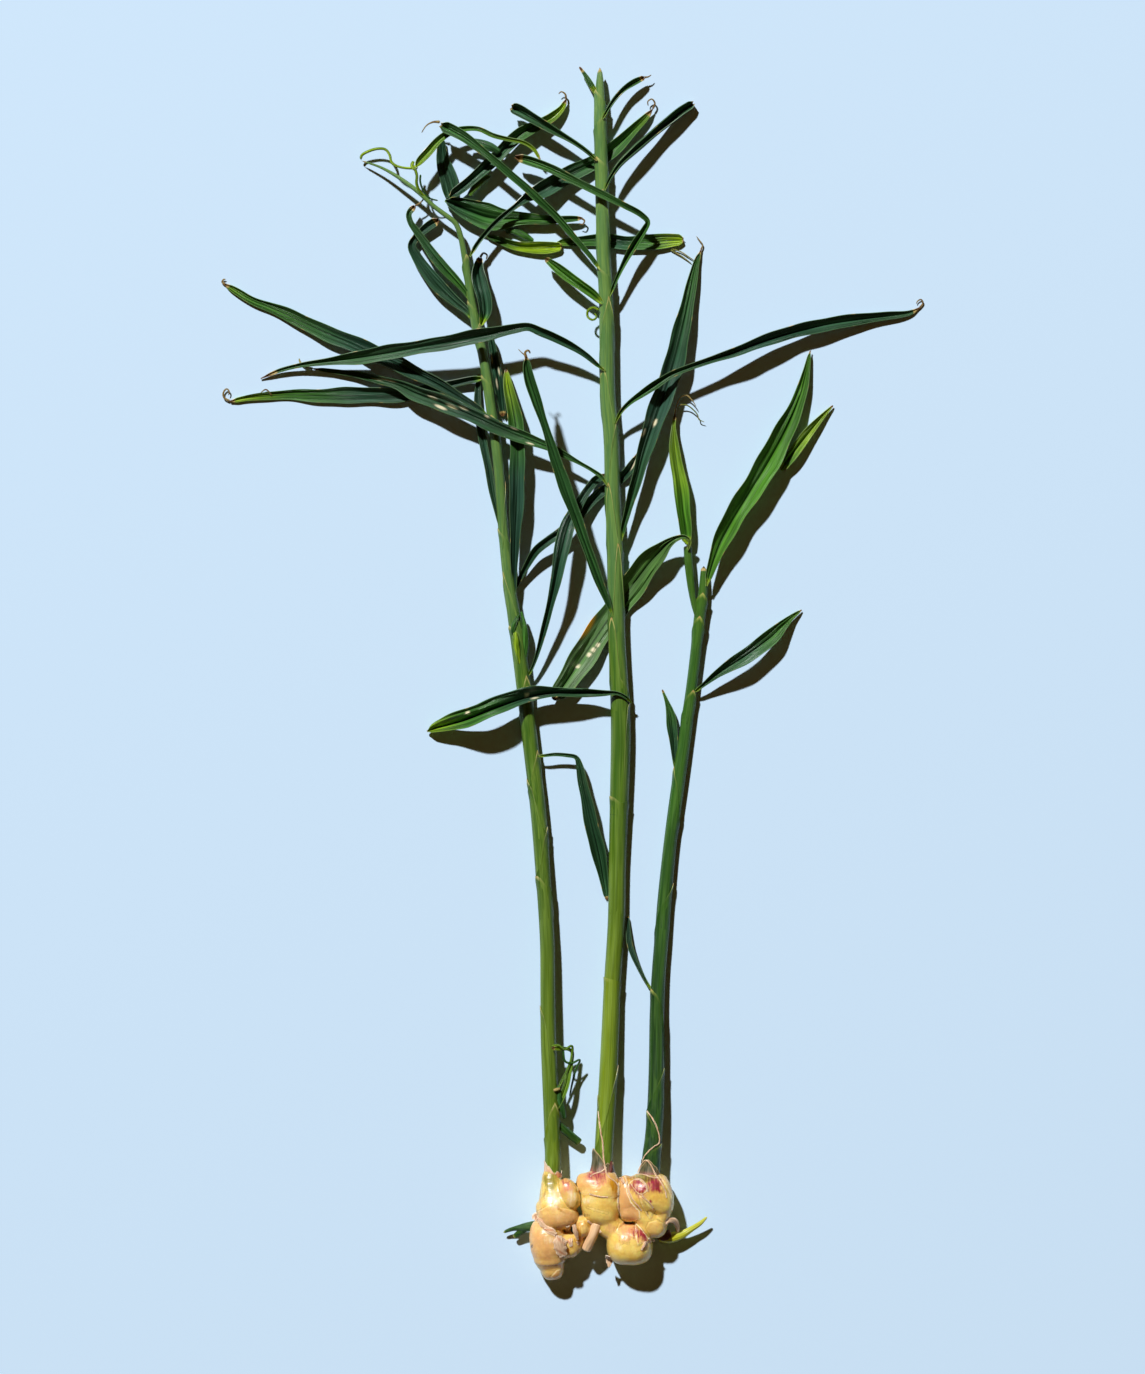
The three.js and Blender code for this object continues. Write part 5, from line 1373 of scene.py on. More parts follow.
class Stems(Builder):
    """Builds the stems as leaf sheaths wrapped round each other."""

    TUCK = 7.0  # how far a sheath starts below the lip that covers it, mm
    SIDES = 36
    ROW = 2.6  # length of a face along a sheath, mm
    CORE_ROWS = 220
    CORE_INSET = 0.25  # how far the innermost leaves lie inside the stem's own width, mm

    def build(self, stem: Stem) -> bpy.types.Object:
        """Models and finishes one stem.

        Args:
            stem: its description.

        Returns:
            The stem, all its sheaths in one object.
        """
        route = Route(stem.points, 400)
        starts = [0.0]
        tops = []
        for lip in stem.lips:
            tops.append((route.travel_at(lip.y), lip))
            starts.append(max(0.0, tops[-1][0] - lip.edge[-1][1] - self.TUCK))
        shells = []
        for index, (top, lip) in enumerate(tops):
            cover = starts[index] + self.TUCK
            shells.append(self._sheath(f"{stem.node}_{index}", route, starts[index], cover, top, lip))
        shells.append(self._core(stem, route))
        select(*shells)
        bpy.ops.object.join()
        piece = shells[-1]
        piece.name = piece.data.name = "sheathed_" + stem.node
        self.dresser.dress(piece, stem.finish, stem.node)
        return piece

    def _sheath(
        self, name: str, route: Route, start: float, cover: float, top: float, lip: Lip,
    ) -> bpy.types.Object:
        """One sheath: a thin tube whose upper edge falls away from the lip's tip.

        Args:
            name: a name to build it under.
            route: the stem's line.
            start: where it starts, mm along the line.
            cover: where it comes out of the sheath below.
            top: where its tip is.
            lip: the shape of its upper edge.

        Returns:
            The sheath.
        """
        rows = int(min(90, max(12, (top - start) / self.ROW)))
        piece, across, along = sheet_grid(name, self.SIDES, rows)
        angle = across * 360 - 90
        offset = np.abs((angle - lip.angle + 180) % 360 - 180)
        fall = np.interp(offset, [a for a, _ in lip.edge], [b for _, b in lip.edge])
        end = np.maximum(top - fall, start + 2.0)
        travel = start + along * (end - start)
        radius = np.interp(travel, route.travel, route.width) / 2
        near = end - travel
        out = -0.3 + 0.42 * smooth(travel, cover - 3.0, cover + 4.0)
        out = out + 0.34 * smooth(near, 7.0, 0.0) + 0.12 * smooth(near, 1.2, 0.0)
        rib = 0.05 * np.sin(np.radians(angle) * 17 + lip.y) + 0.04 * np.sin(np.radians(angle) * 9 + lip.y * 2)
        radius = radius + out + rib
        turn = np.radians(angle)
        points = route.place(travel, radius * np.cos(turn), radius * np.sin(turn))
        points[:, 2] = np.maximum(points[:, 2], 0.05)
        set_points(piece, points)
        edge = smooth(near, 0.9, 0.2)
        tip = smooth(np.hypot(near / 2.6, offset / 34), 1.0, 0.4) * min(1.0, lip.cream)
        dry = 0.62 * smooth(np.hypot(near / 1.4, offset / 22), 1.0, 0.2) * lip.cream
        shade = 0.5 * smooth(offset, 60, 130)
        store(piece, lip=np.maximum(edge * 0.3 * smooth(offset, 90, 20), tip), dry=dry, shade=shade,
              tone=np.full_like(near, lip.tone))
        finish_shape(piece, SHEATH_WALL, merge=SEAM)
        return piece

    def _core(self, stem: Stem, route: Route) -> bpy.types.Object:
        """The innermost rolled leaves, a closed rod that ends in the stem's tip.

        Args:
            stem: its description.
            route: the stem's line.

        Returns:
            The rod.
        """
        piece, across, along = sheet_grid(stem.node + "_core", self.SIDES, self.CORE_ROWS)
        travel = along * route.length
        radius = np.interp(travel, route.travel, route.width) / 2 - self.CORE_INSET
        ends = np.sqrt(np.clip(1 - smooth(travel, route.length - 3.0, route.length) ** 2, 0.0004, 1))
        radius = radius * ends * (0.02 + 0.98 * smooth(travel, -0.1, 1.0))
        turn = np.radians(across * 360 - 90)
        radius = radius + 0.04 * np.sin(turn * 11)
        points = route.place(travel, radius * np.cos(turn), radius * np.sin(turn))
        set_points(piece, points)
        tip = smooth(travel, route.length - 5, route.length - 1)
        store(piece, lip=0 * along, dry=0.9 * tip, shade=0 * along, tone=0 * along + 0.5)
        close_tube(piece, SEAM)
        return piece


# --- Rhizome --------------------------------------------------------------------------------


@dataclass(frozen=True)
class Lobe:
    """One swelling of the rhizome: its middle, half sizes, how tan it is and its turn about Z."""

    middle: tuple[float, float, float]
    half: tuple[float, float, float]
    tan: float = 0.4
    turn: float = 0.0


@dataclass(frozen=True)
class Film:
    """A thin scale leaf that still clings to the rhizome: its outline from above and its look."""

    outline: tuple[tuple[float, float], ...]
    lift: float = 0.35
    tan: float = 0.0
    edge: float = 0.8  # how pale its edge is


class Rhizome(Builder):
    """Builds the rhizome as one grown body, with its rings, clinging scales and tinted buds."""

    SINK = 1.5
    VOXEL = 0.5
    SQUARE = 2.5  # how boxy a lobe is, 2 for an ellipsoid
    FLOW = 0.8  # how softly lobes run into each other, mm
    PASSES = 4  # how often the surface is drawn to where the lobes melt together
    STEP = 0.05  # between the places that give the surface's slope, mm
    REACH = 0.9  # how far round a point its fold is judged, mm
    LOBES = (
        Lobe((-13.4, -307, 13.5), (6, 11, 7.6), 0.25), Lobe((-12, -313.5, 14), (7.8, 10, 10), 0.1),
        Lobe((-11, -319.5, 14.4), (10, 9, 12), 0.25), Lobe((-9.2, -325, 14.4), (12.2, 8, 12.2), 0.6, 8),
        Lobe((-2.4, -311.2, 19.5), (5.6, 9.4, 7), 0.3, 21), Lobe((-20.4, -320, 14), (2.2, 3.2, 5), 0.7),
        Lobe((-15.4, -340, 13.5), (10.5, 12.6, 12.6), 0.7, 6), Lobe((-20.6, -334, 12), (4.4, 6.6, 9), 0.7),
        Lobe((-14.4, -349, 12.6), (9.2, 8.4, 10.6), 0.55, 6),
        Lobe((-12.8, -355.4, 11.4), (7, 8, 8.4), 0.6, 10), Lobe((-3.2, -342.4, 14), (7, 7.6, 8.4), 0.4),
        Lobe((3, -337, 11), (3.4, 9.6, 8.6), 0.4), Lobe((6, -331, 15.4), (5, 6.6, 8), 0.6),
        Lobe((15.6, -313.6, 14.4), (12, 13, 13), 0.1), Lobe((12.6, -305.4, 14.6), (10.4, 6.2, 11), 0.45),
        Lobe((5.6, -304.6, 15), (3.4, 4.8, 7), 0.5), Lobe((22, -307, 14), (5.4, 7.4, 10), 0.3, 14),
        Lobe((16.6, -301, 13.6), (8.8, 3.6, 9.2), 0.4), Lobe((17, -321, 14.4), (10.8, 10, 12.4), 0.1, -8),
        Lobe((22, -331, 13), (8, 7.6, 10.4), 0.3, -20), Lobe((33.4, -342, 14), (13.2, 12.2, 13.6), 0.1),
        Lobe((27, -343.4, 12.5), (6.6, 8, 10.6), 0.15), Lobe((39, -343.4, 13), (8, 9.4, 11), 0.1),
        Lobe((44, -311.4, 15), (14.4, 12, 13.6), 0.1), Lobe((45.8, -303, 13.6), (9.6, 3.8, 9), 0.2),
        Lobe((31.4, -312.4, 15), (4.8, 12, 10), 0.7), Lobe((33, -322, 15), (5.6, 5.6, 9), 0.8),
        Lobe((52.4, -315.4, 14.5), (7.4, 9.6, 12), 0.05, 10),
        Lobe((41, -323, 15), (11, 6.6, 10.4), 0.2, -42), Lobe((47, -329.6, 15), (9.2, 8, 9.4), 0.3, -12),
        Lobe((53.4, -324, 15), (4.4, 4, 8), 0.6),
    )
    DABS = {  # middle, half sizes, strength and turn of each, seen from above
        "olive": ((-13.4, -303.4, 5.4, 8.4, 1.1, 0), (43.6, -301, 9, 3.4, 1.2, 0)),
        "gold": ((-17, -301, 2, 4, 0.7, 0), (24, -305.6, 3.6, 6.4, 1.0, 22), (25, -312, 1.8, 3, 0.6, 10),
            (-11, -331, 2.4, 4, 0.8, 0), (3, -337, 2.4, 7, 1, 0), (9, -329, 4.6, 2.6, 0.7, -20),
            (34.4, -300.6, 4.4, 2.6, 1.2, 32), (-8.6, -319.4, 5, 0.9, 0.9, -38),
            (26, -326, 2.4, 3, 0.5, 0)),
        "pink": ((-4.6, -303.6, 3.4, 2.8, 0.75, 0), (14, -300, 6.4, 3.8, 0.95, 0),
            (11.4, -303, 1.2, 3.8, 0.8, 8), (14.4, -303, 0.8, 3.8, 0.6, 4), (17, -303, 0.8, 3, 0.5, -8),
            (38.4, -306.2, 6.2, 5, 1.0, -24), (48.4, -304.8, 5.4, 5, 1.15, 40),
            (51.4, -308.4, 2, 3, 0.8, 34), (42, -310.4, 2, 3.4, 0.6, 20), (46, -315, 1.2, 1.2, 0.9, 0),
            (33.4, -333.6, 0.8, 3.4, 0.45, 6), (35.6, -333.6, 1.2, 4, 0.8, 12),
            (38.2, -333.8, 1.8, 4, 1.0, 18), (41.4, -335.8, 2, 5, 1.15, 30),
            (38.6, -338.6, 0.7, 2.6, 0.6, 34)),
        "blush": ((-3.8, -307, 4.4, 5, 0.6, 0), (-3, -311, 4.6, 7, 0.25, 0), (13.4, -302, 8.4, 4.6, 0.8, 0),
            (40, -308, 6, 5, 0.5, 0), (41, -311.6, 4, 3.4, 0.6, 0), (33, -309, 4.4, 8, 0.3, 0),
            (32.4, -333.6, 5, 6, 0.45, 0), (39.6, -336, 4.4, 4.6, 0.6, 20)),
        # pale dabs are painted highlights on the lobes
        "pale": ((-1.4, -312, 2.6, 5, 0.7, 0), (9, -314.6, 4.6, 2.6, 0.6, 0), (-12, -314, 5.4, 6, 1, 0),
            (-8, -323, 5, 4, 0.35, 0), (-15, -338, 4, 4, 0.5, 0), (8, -309.6, 3.4, 2.4, 0.4, 0),
            (26.6, -342, 3.4, 3, 0.5, 0)),
        # dark dabs: painted shade in the gaps between lobes, with a few thin brown streaks of the skin
        "dark": ((7, -323.6, 3, 1.5, 0.7, 0), (3, -321.4, 1.4, 1, 0.9, 0), (44, -301.4, 6.4, 2.2, 0.75, 4),
            (49.6, -305, 3, 2.6, 0.45, 40), (42.4, -315.4, 1.3, 3.6, 0.5, 22),
            (44, -322.6, 0.8, 3, 0.6, 14), (51, -326.4, 2.6, 1, 0.5, -20), (31, -325.4, 4.4, 1.4, 0.6, -14),
            (-17.4, -311, 0.9, 3, 0.5, 0), (-24.6, -342.6, 0.8, 1.6, 0.7, 0),
            (5.6, -332, 2.6, 3.6, 0.35, 0), (-0.4, -327, 3.4, 1.2, 0.4, 10)),
        "tan": ((49, -332, 5, 4.4, 0.5, 0), (31, -318, 4, 9, 1.1, 0), (22, -331.6, 4.4, 3, 1, 0),
            (31, -333.6, 5, 6.4, 1.2, 0)),
    }
    FILMS = (
        Film(((2, -300), (10, -296), (24, -297), (28, -305), (27.4, -312), (24.6, -313.6), (20, -312.4),
            (15, -312.8), (11, -311), (6, -311.6), (2, -309)), tan=0.35, edge=0.55),
        Film(((-21.6, -322), (-14, -317), (-5, -319.6), (3, -322), (2, -327), (-4, -332.6), (-9, -331.4),
            (-12, -333.4), (-17, -331), (-20, -327)), tan=0.3, edge=0.4),
        Film(((-28, -328), (-20, -328), (-13, -333), (-9, -339), (-9, -346), (-4, -351.6), (-12, -353.6),
            (-18, -354), (-24, -352.8), (-28, -345)), tan=0.2, edge=0.6),
        Film(((27, -329), (31, -326.6), (36, -328), (38.6, -332.6), (36.4, -337), (33.6, -335.6),
            (32.8, -340.6), (30, -339.4), (28.4, -340.8), (27.4, -335), (25.4, -334)), tan=0.6, edge=0.5),
        Film(((36.6, -328), (40.6, -331.6), (45.4, -338.6), (40.6, -344), (41.6, -339.6), (38.4, -341.6),
            (37, -337)), edge=0.8),
        Film(((30, -299), (26, -305), (26, -319), (29, -326), (34, -328), (40, -325.6), (39.4, -321),
            (34.6, -315.6), (31.8, -309), (32.2, -303)), tan=0.9, edge=1.0),
        Film(((-8.6, -304), (-5.4, -301.4), (-1.6, -303), (1.2, -308), (2.4, -314), (0.8, -318.6),
            (-2.4, -319), (-5.8, -314.6), (-8.2, -309.6)), lift=0.6, tan=0.25, edge=0.3),
        Film(((33.4, -304), (36, -302), (40, -302.4), (43.4, -305), (44.2, -308.6), (41, -311),
            (37.6, -310)), edge=0.9),
        Film(((38.4, -310), (44, -316), (48.6, -320.6), (46, -326), (43.6, -323), (41, -318)), edge=0.6),
        Film(((36, -297), (50, -299), (54.6, -306), (57.6, -311.6), (59, -317), (62, -310), (56, -298),
            (44, -293)), tan=0.4, edge=0.8),
        Film(((8, -318.4), (14, -320), (20.6, -321.8), (20.4, -322.4), (13.6, -320.8), (8, -319)),
            lift=0.15, edge=0.5),
        Film(((43.4, -331), (46, -335.6), (51, -336), (54.4, -332.6), (53.6, -328.6), (49.6, -326.6),
            (45, -327.6)), lift=0.3, tan=0.2, edge=0.35),
        Film(((-14, -361), (-10, -356.6), (-7.6, -356), (-8, -360), (-11, -362.6)), lift=0.3, tan=0.3,
            edge=0.6),
        Film(((3.6, -329), (6, -327.6), (8.4, -330.4), (8, -334.6), (5, -335.4), (3.2, -332)), lift=0.3,
            edge=0.35),
    )

    def build(self) -> bpy.types.Object:
        """Models and finishes the rhizome.

        Returns:
            The rhizome.
        """
        piece = self._joined_lobes()
        apply_modifier(piece, "REMESH", mode="VOXEL", voxel_size=self.VOXEL * MM)
        self._melt(piece)
        apply_modifier(piece, "SMOOTH", factor=0.6, iterations=6)
        self._relief(piece)
        select(piece)
        bpy.ops.object.shade_smooth()
        self.dresser.dress(piece, FinishName.SKIN, "rhizome")
        return piece

    def _joined_lobes(self) -> bpy.types.Object:
        """The lobes as one object of overlapping balls.

        Returns:
            The object.
        """
        balls = []
        for lobe in self.LOBES:
            select()
            x, y, z = lobe.middle
            bpy.ops.mesh.primitive_uv_sphere_add(
                segments=40, ring_count=24, radius=MM, location=(x * MM, y * MM, (z - self.SINK) * MM),
                rotation=(0, 0, math.radians(lobe.turn)),
            )
            ball = bpy.context.object
            ball.scale = lobe.half
            bpy.ops.object.transform_apply(location=True, rotation=True, scale=True)
            balls.append(ball)
        select(*reversed(balls))
        bpy.ops.object.join()
        balls[0].name = balls[0].data.name = "rhizome_skin"
        return balls[0]

    def _melt(self, piece: bpy.types.Object) -> None:
        """Moves the joined lobes' surface to where the lobes flow into each other.

        Args:
            piece: the joined and remeshed lobes.
        """
        points = read_points(piece) / MM
        for _ in range(self.PASSES):
            here = self._gap(points)
            steps = [(self._gap(points + step) - here) / self.STEP for step in self.STEP * np.eye(3)]
            slope = np.stack(steps, axis=1)
            move = np.clip(here / np.maximum((slope**2).sum(axis=1), 0.3), -0.8, 0.8)
            points = points - slope * move[:, None]
        set_points(piece, points)

    def _gap(self, points: np.ndarray) -> np.ndarray:
        """How far points lie outside the softened surface of all the lobes together.

        Args:
            points: one row for each point, mm.

        Returns:
            The distances, mm.
        """
        gaps = []
        for lobe in self.LOBES:
            local = self._local(lobe, points)
            share = (np.abs(local / np.array(lobe.half)) ** self.SQUARE).sum(axis=1) ** (1 / self.SQUARE)
            gaps.append(np.linalg.norm(local, axis=1) * (1 - 1 / np.maximum(share, 0.2)))
        stack = np.stack(gaps, axis=1)
        low = stack.min(axis=1, keepdims=True)
        return low[:, 0] - self.FLOW * np.log(np.exp(-(stack - low) / self.FLOW).sum(axis=1))

    def _creases(self, points: np.ndarray) -> np.ndarray:
        """Where the surface folds inwards between lobes.

        Args:
            points: one row for each point, mm.

        Returns:
            From 0 to 1, 1 in the sharpest folds.
        """
        reach = self.REACH * np.vstack([np.eye(3), -np.eye(3)])
        bend = sum(self._gap(points + step) for step in reach) - 6 * self._gap(points)
        return smooth(bend / self.REACH**2, -0.25, -1.1)

    def _local(self, lobe: Lobe, points: np.ndarray) -> np.ndarray:
        """Points in a lobe's own axes, from its middle, mm."""
        local = points - (np.array(lobe.middle) - (0, 0, self.SINK))
        return np.stack([*turned(local, lobe.turn), local[:, 2]], axis=1)

    def _relief(self, piece: bpy.types.Object) -> None:
        """Clinging scales, soft lumps, creases and the flat places where it lies; and its tints, with painted
        shade in the creases and at the scales' edges and painted highlights on the lobes.

        Args:
            piece: the joined and remeshed lobes.
        """
        points = read_points(piece) / MM
        normal = read_points(piece, "normal")
        depth = np.stack([self._depth(lobe, points) for lobe in self.LOBES], axis=1)
        weight = np.exp(-((depth - depth.min(axis=1, keepdims=True)) / 0.12))
        tan = weight @ np.array([lobe.tan for lobe in self.LOBES]) / weight.sum(axis=1)
        lumps = soft_noise(points * 0.11) + 0.4 * soft_noise(points * 0.36)
        fine = soft_noise(points)
        upper = smooth(normal[:, 2], -0.15, 0.2)
        fibres = soft_noise(points * (1.1, 0.22, 0.0) + (0, 0, 3.0))
        streak = 0.72 + 0.5 * smooth(fibres, -0.25, 0.35)
        seen = points[:, :2] + 0.35 * np.stack([fine, np.roll(fine, 7)], axis=1)
        lift = 0.3 * lumps + 0.06 * fine
        pale = np.zeros(len(points))
        # shade is painted shade: darker in the folds between lobes, and a thin painted shadow just outside
        # each clinging scale's edge; it goes into the dark tint
        shade = 0.85 * self._creases(points)
        for film in self.FILMS:
            inside = self._inside(np.array(film.outline), seen)
            lift += film.lift * smooth(inside, -0.1, 0.5) * upper
            tan += film.tan * smooth(inside, 0, 0.8) * upper
            pale = np.maximum(pale, film.edge * np.exp(-(((inside - 0.3) / 0.34) ** 2)) * upper)
            shade = np.maximum(shade, 0.5 * np.exp(-(((inside + 0.45) / 0.3) ** 2)) * upper)
        masks = {"blush": 0, "pink": 0, "gold": 0, "olive": 0, "dark": shade, "tan": tan, "pale": pale}
        uneven = 1.1 * np.stack([fine, lumps], axis=1)
        for tint, dabs in self.DABS.items():
            for *middle, wide, high, strength, turn in dabs:
                x, y = turned(points[:, :2] - middle + uneven, turn)
                gap = np.hypot(x / wide, y / high)
                amount = strength * smooth(gap, 1.45, 0.3) * upper * streak
                masks[tint] = np.maximum(masks[tint], amount)
        points = points + normal * lift[:, None]
        points[:, 2] = np.maximum(points[:, 2], 0.0)
        set_points(piece, points)
        store(piece, **masks)

    def _depth(self, lobe: Lobe, points: np.ndarray) -> np.ndarray:
        """How far points are from a lobe's middle, 1 on its surface."""
        return np.linalg.norm(self._local(lobe, points) / np.array(lobe.half), axis=1)

    @staticmethod
    def _inside(outline: np.ndarray, seen: np.ndarray) -> np.ndarray:
        """Distances to an outline, positive inside it.

        Args:
            outline: its corners in order.
            seen: points in plan.

        Returns:
            The signed distances, mm.
        """
        near = np.full(len(seen), 1e9)
        inner = np.zeros(len(seen), bool)
        for a, b in zip(outline, np.roll(outline, -1, axis=0)):
            edge = b - a
            share = np.clip(((seen - a) @ edge) / (edge @ edge), 0, 1)
            near = np.minimum(near, np.linalg.norm(seen - a - share[:, None] * edge, axis=1))
            crosses = (a[1] > seen[:, 1]) != (b[1] > seen[:, 1])
            reach = a[0] + (seen[:, 1] - a[1]) / (edge[1] if edge[1] else 1e-9) * edge[0]
            inner ^= crosses & (seen[:, 0] < reach)
        return np.where(inner, near, -near)


# --- Small pieces ---------------------------------------------------------------------------


@dataclass(frozen=True)
class Collar:
    """A thin sheath round a stem's foot: where it starts and ends and its radius at each end."""

    node: str
    centre: tuple[float, float]
    foot: float
    lip: float
    foot_radius: float
    lip_radius: float
    tip: float  # angle of its longest point
    falls: tuple[float, float]  # how far its edge falls away to the left and right of that point, mm
    finish: FinishName


@dataclass(frozen=True)
class Rod:
    """A shoot, a root or a cut stalk: a closed tapering rod with fine ridges."""

    name: str
    points: list[Point]
    finish: FinishName
    flat: float  # its height against its width
    nodes: tuple[str, ...] = ()


class Trimmings(Builder):
    """Builds the collars, shoots, root stub, edges of sheaths and papery scales round the rhizome."""

    RODS = (
        Rod("green_side_shoot", [(-20, -330, 9, 5.4), (-25, -331.2, 8, 5.6), (-30, -332.2, 7, 5),
            (-35, -332.8, 5.8, 2.8), (-39, -334, 4.8, 2.2), (-42, -335.4, 4.2, 1.4)], FinishName.STEM_GREEN,
            0.8, ("side_shoot_left",)),
        Rod("green_side_shoot_fork", [(-28, -332.4, 7, 4), (-32, -335, 6, 3.6), (-36, -338.2, 4.8, 2.6)],
            FinishName.STEM_GREEN, 0.7),
        Rod("hollow_of_side_shoot", [(50, -336.6, 7, 4), (54, -337.4, 7.4, 6.6), (59, -336.4, 7.4, 6)],
            FinishName.HOLLOW, 0.9),
        Rod("arch_of_side_shoot", [(54, -329, 19, 3), (56.6, -327, 18, 3.4), (60, -327.4, 15.6, 3.6),
            (62.2, -331, 12, 3), (62.4, -335.4, 8.6, 2)], FinishName.PAPER, 0.45),
        Rod("yellow_side_shoot", [(51, -338, 7, 5), (56, -338.4, 7, 6.4), (61, -337.6, 7, 6),
            (66, -335.8, 7, 4.6), (71, -332.8, 7.4, 3.4), (76, -329.4, 8, 2.6), (80, -325.6, 8.6, 1.2)],
            FinishName.SHOOT, 0.9, ("side_shoot_right",)),
        Rod("cut_root", [(14, -328.4, 18.6, 6), (11.4, -336, 18.4, 6), (7.2, -345.2, 15, 5.6)],
            FinishName.ROOT, 1.0, ("root_stub",)),
        Rod("cut_side_stalk", [(-10.4, -269, 9.4, 4.4), (-5, -274, 8.4, 4.6), (4, -281.6, 5.4, 4.6)],
            FinishName.STEM_GREEN, 0.8, ("cut_stalk",)),
        Rod("top_side_shoot", [(74, 33, 7.4, 2.4), (72, 42, 6.8, 3.4), (70.2, 54, 6.4, 4.6),
            (69, 66, 6.4, 5), (68.2, 76.4, 6.6, 4.6)], FinishName.STEM_GREEN, 0.9, ("side_shoot_top",)),
    )
    TORN_SCALES = (
        ("torn_scale_middle", [(0.2, -329, 23.4, 1.8), (1, -333, 23.8, 2.4), (2.6, -338.4, 21.6, 1.2)], 0.5,
            "scale_middle"),
        ("torn_scale_left", [(-8.4, -335.4, 26.4, 3), (-8.6, -339, 26.8, 6.4), (-7.6, -343.4, 25.8, 7),
            (-6, -348.2, 23.6, 4.4)], 0.35, "scale_left"),
    )
    SCRAPS = {
        "flap": [(-23.8, -327, 2.4), (-22.4, -324.8, 4), (-19.6, -326.6, 3.4), (-17, -330, 4),
            (-13.4, -332.6, 3)],
        "strip": [(-17.4, -331, 3), (-14, -333.2, 4.8), (-10.6, -335.4, 3.4)],
        "pink": [(-10.4, -336, 2), (-7, -338.4, 3), (-4, -340, 2)],
        "long": [(-3.8, -330.4, 3), (-3.4, -334.6, 3.6), (-2.2, -339, 3), (-1.6, -342.4, 1.4)],
        "speck": [(2.2, -339.4, 1.4), (3.4, -341.4, 1.8)],
        "curl": [(27.2, -302.6, 1.6), (28.8, -302.4, 2), (30, -304.6, 1.6)],
        "tip": [(44.6, -337.6, 1.2), (46, -340.4, 1.4)],
        "dot": [(47, -339, 1.4), (48.6, -339.6, 1.2)],
        "torn": [(40.4, -344, 0.8), (42, -341.4, 1.2), (43, -339, 0.8)],
        "flake": [(21.6, -348.4, 4.6), (21.4, -351, 4.4), (21, -355.4, 1)],
        "splinter": [(8.4, -327, 1), (12.4, -329.6, 1.6), (16.4, -334, 1)],
    }
    EDGES = {
        "right_high": [(44, -262, 0.46), (47.4, -266.6, 0.46), (49.8, -271.6, 0.46), (51.2, -277, 0.46),
            (51.2, -281, 0.46), (48.4, -282.8, 0.46), (45, -285.6, 0.46), (42.6, -288.6, 0.46),
            (41, -292, 0.46)],
        "right_peak": [(38.4, -298.8, 0.46), (40.2, -294.8, 0.53), (42, -291.9, 0.53), (43.6, -291.2, 0.53),
            (45.4, -292.6, 0.53), (47.4, -296.4, 0.53), (49.8, -300.8, 0.53), (52.6, -304.6, 0.53),
            (54.6, -309, 0.53), (55.6, -313, 0.33)],
        "right_rim": [(37, -299.8, 0.4), (41.6, -299.6, 0.46), (46.4, -300.8, 0.46), (50.4, -301.4, 0.4)],
        "right_flank": [(31.8, -303.4, 0.53), (32.8, -308.4, 0.66), (34.8, -313, 0.66),
            (37.6, -316.8, 0.66), (40.6, -320.8, 0.4)],
        "right_loop": [(35.8, -302.4, 0.4), (38.6, -301.8, 0.53), (41.4, -303, 0.53), (43.2, -305.6, 0.53),
            (44.4, -309, 0.4)],
        "right_band": [(40.8, -311.4, 0.4), (43.4, -314, 0.53), (45.6, -316.2, 0.53), (47.6, -319, 0.33)],
        "middle_line": [(14.8, -262, 0.46), (15.4, -268, 0.53), (16.4, -275, 0.53), (17.6, -282, 0.66),
            (17.8, -288, 0.66), (18.6, -294, 0.59), (20.2, -299.4, 0.59), (22.8, -302, 0.53),
            (25, -303.8, 0.46), (27, -306.4, 0.33)],
        "middle_base": [(9.8, -300.4, 0.4), (12.4, -299, 0.59), (15, -298.4, 0.66), (17.6, -297.2, 0.66),
            (19.6, -295.2, 0.4)],
        "middle_ring": [(9.4, -310.6, 0.4), (13, -311.6, 0.59), (17, -312.4, 0.59), (20.6, -312.6, 0.33)],
    }
    COLLARS = (
        Collar("collar_left", (-12.4, 12.6), -301.5, -291.5, 5.6, 5.0, 165, (7.0, 7.0), FinishName.PAPER),
        Collar("collar_middle", (17.2, 12.6), -303, -284, 9.8, 5.9, 150, (12.0, 9.5), FinishName.PURPLE),
        Collar("collar_right", (46.2, 12.6), -304, -290.5, 8.8, 6.1, 105, (10.0, 11.0), FinishName.PURPLE),
    )

    def collar(self, collar: Collar) -> bpy.types.Object:
        """Models and finishes one collar.

        Args:
            collar: its description.

        Returns:
            The collar.
        """
        piece, across, along = sheet_grid("sheath_" + collar.node, 48, 26)
        angle = across * 360 - 90
        beside = (angle - collar.tip + 180) % 360 - 180
        offset = np.abs(beside)
        fall = np.where(beside > 0, *collar.falls)
        ragged = 0.7 * np.sin(np.radians(angle) * 7 + 1) + 0.4 * np.sin(np.radians(angle) * 13)
        top = collar.lip - fall * np.clip(offset / 80, 0, 1) ** 1.3 + ragged * smooth(offset, 20, 60)
        y = collar.foot + along * (top - collar.foot)
        share = (y - collar.foot) / (collar.lip - collar.foot)
        radius = collar.lip_radius + (collar.foot_radius - collar.lip_radius) * np.clip(1 - share, 0, 1) ** 3
        radius = radius + 0.1 * np.sin(np.radians(angle) * 9) * (1 - share) + 0.2 * smooth(along, 0.85, 1.0)
        turn = np.radians(angle)
        x = collar.centre[0] + radius * np.cos(turn)
        z = np.maximum(collar.centre[1] + radius * np.sin(turn), 0.3)
        set_points(piece, np.stack([x, y, z], axis=1))
        store(piece, lip=smooth(along, 0.93, 1.0) * 0.9, foot=smooth(share, 0.55, 0.05))
        finish_shape(piece, COLLAR_WALL, merge=SEAM)
        self.dresser.dress(piece, collar.finish, collar.node)
        return piece

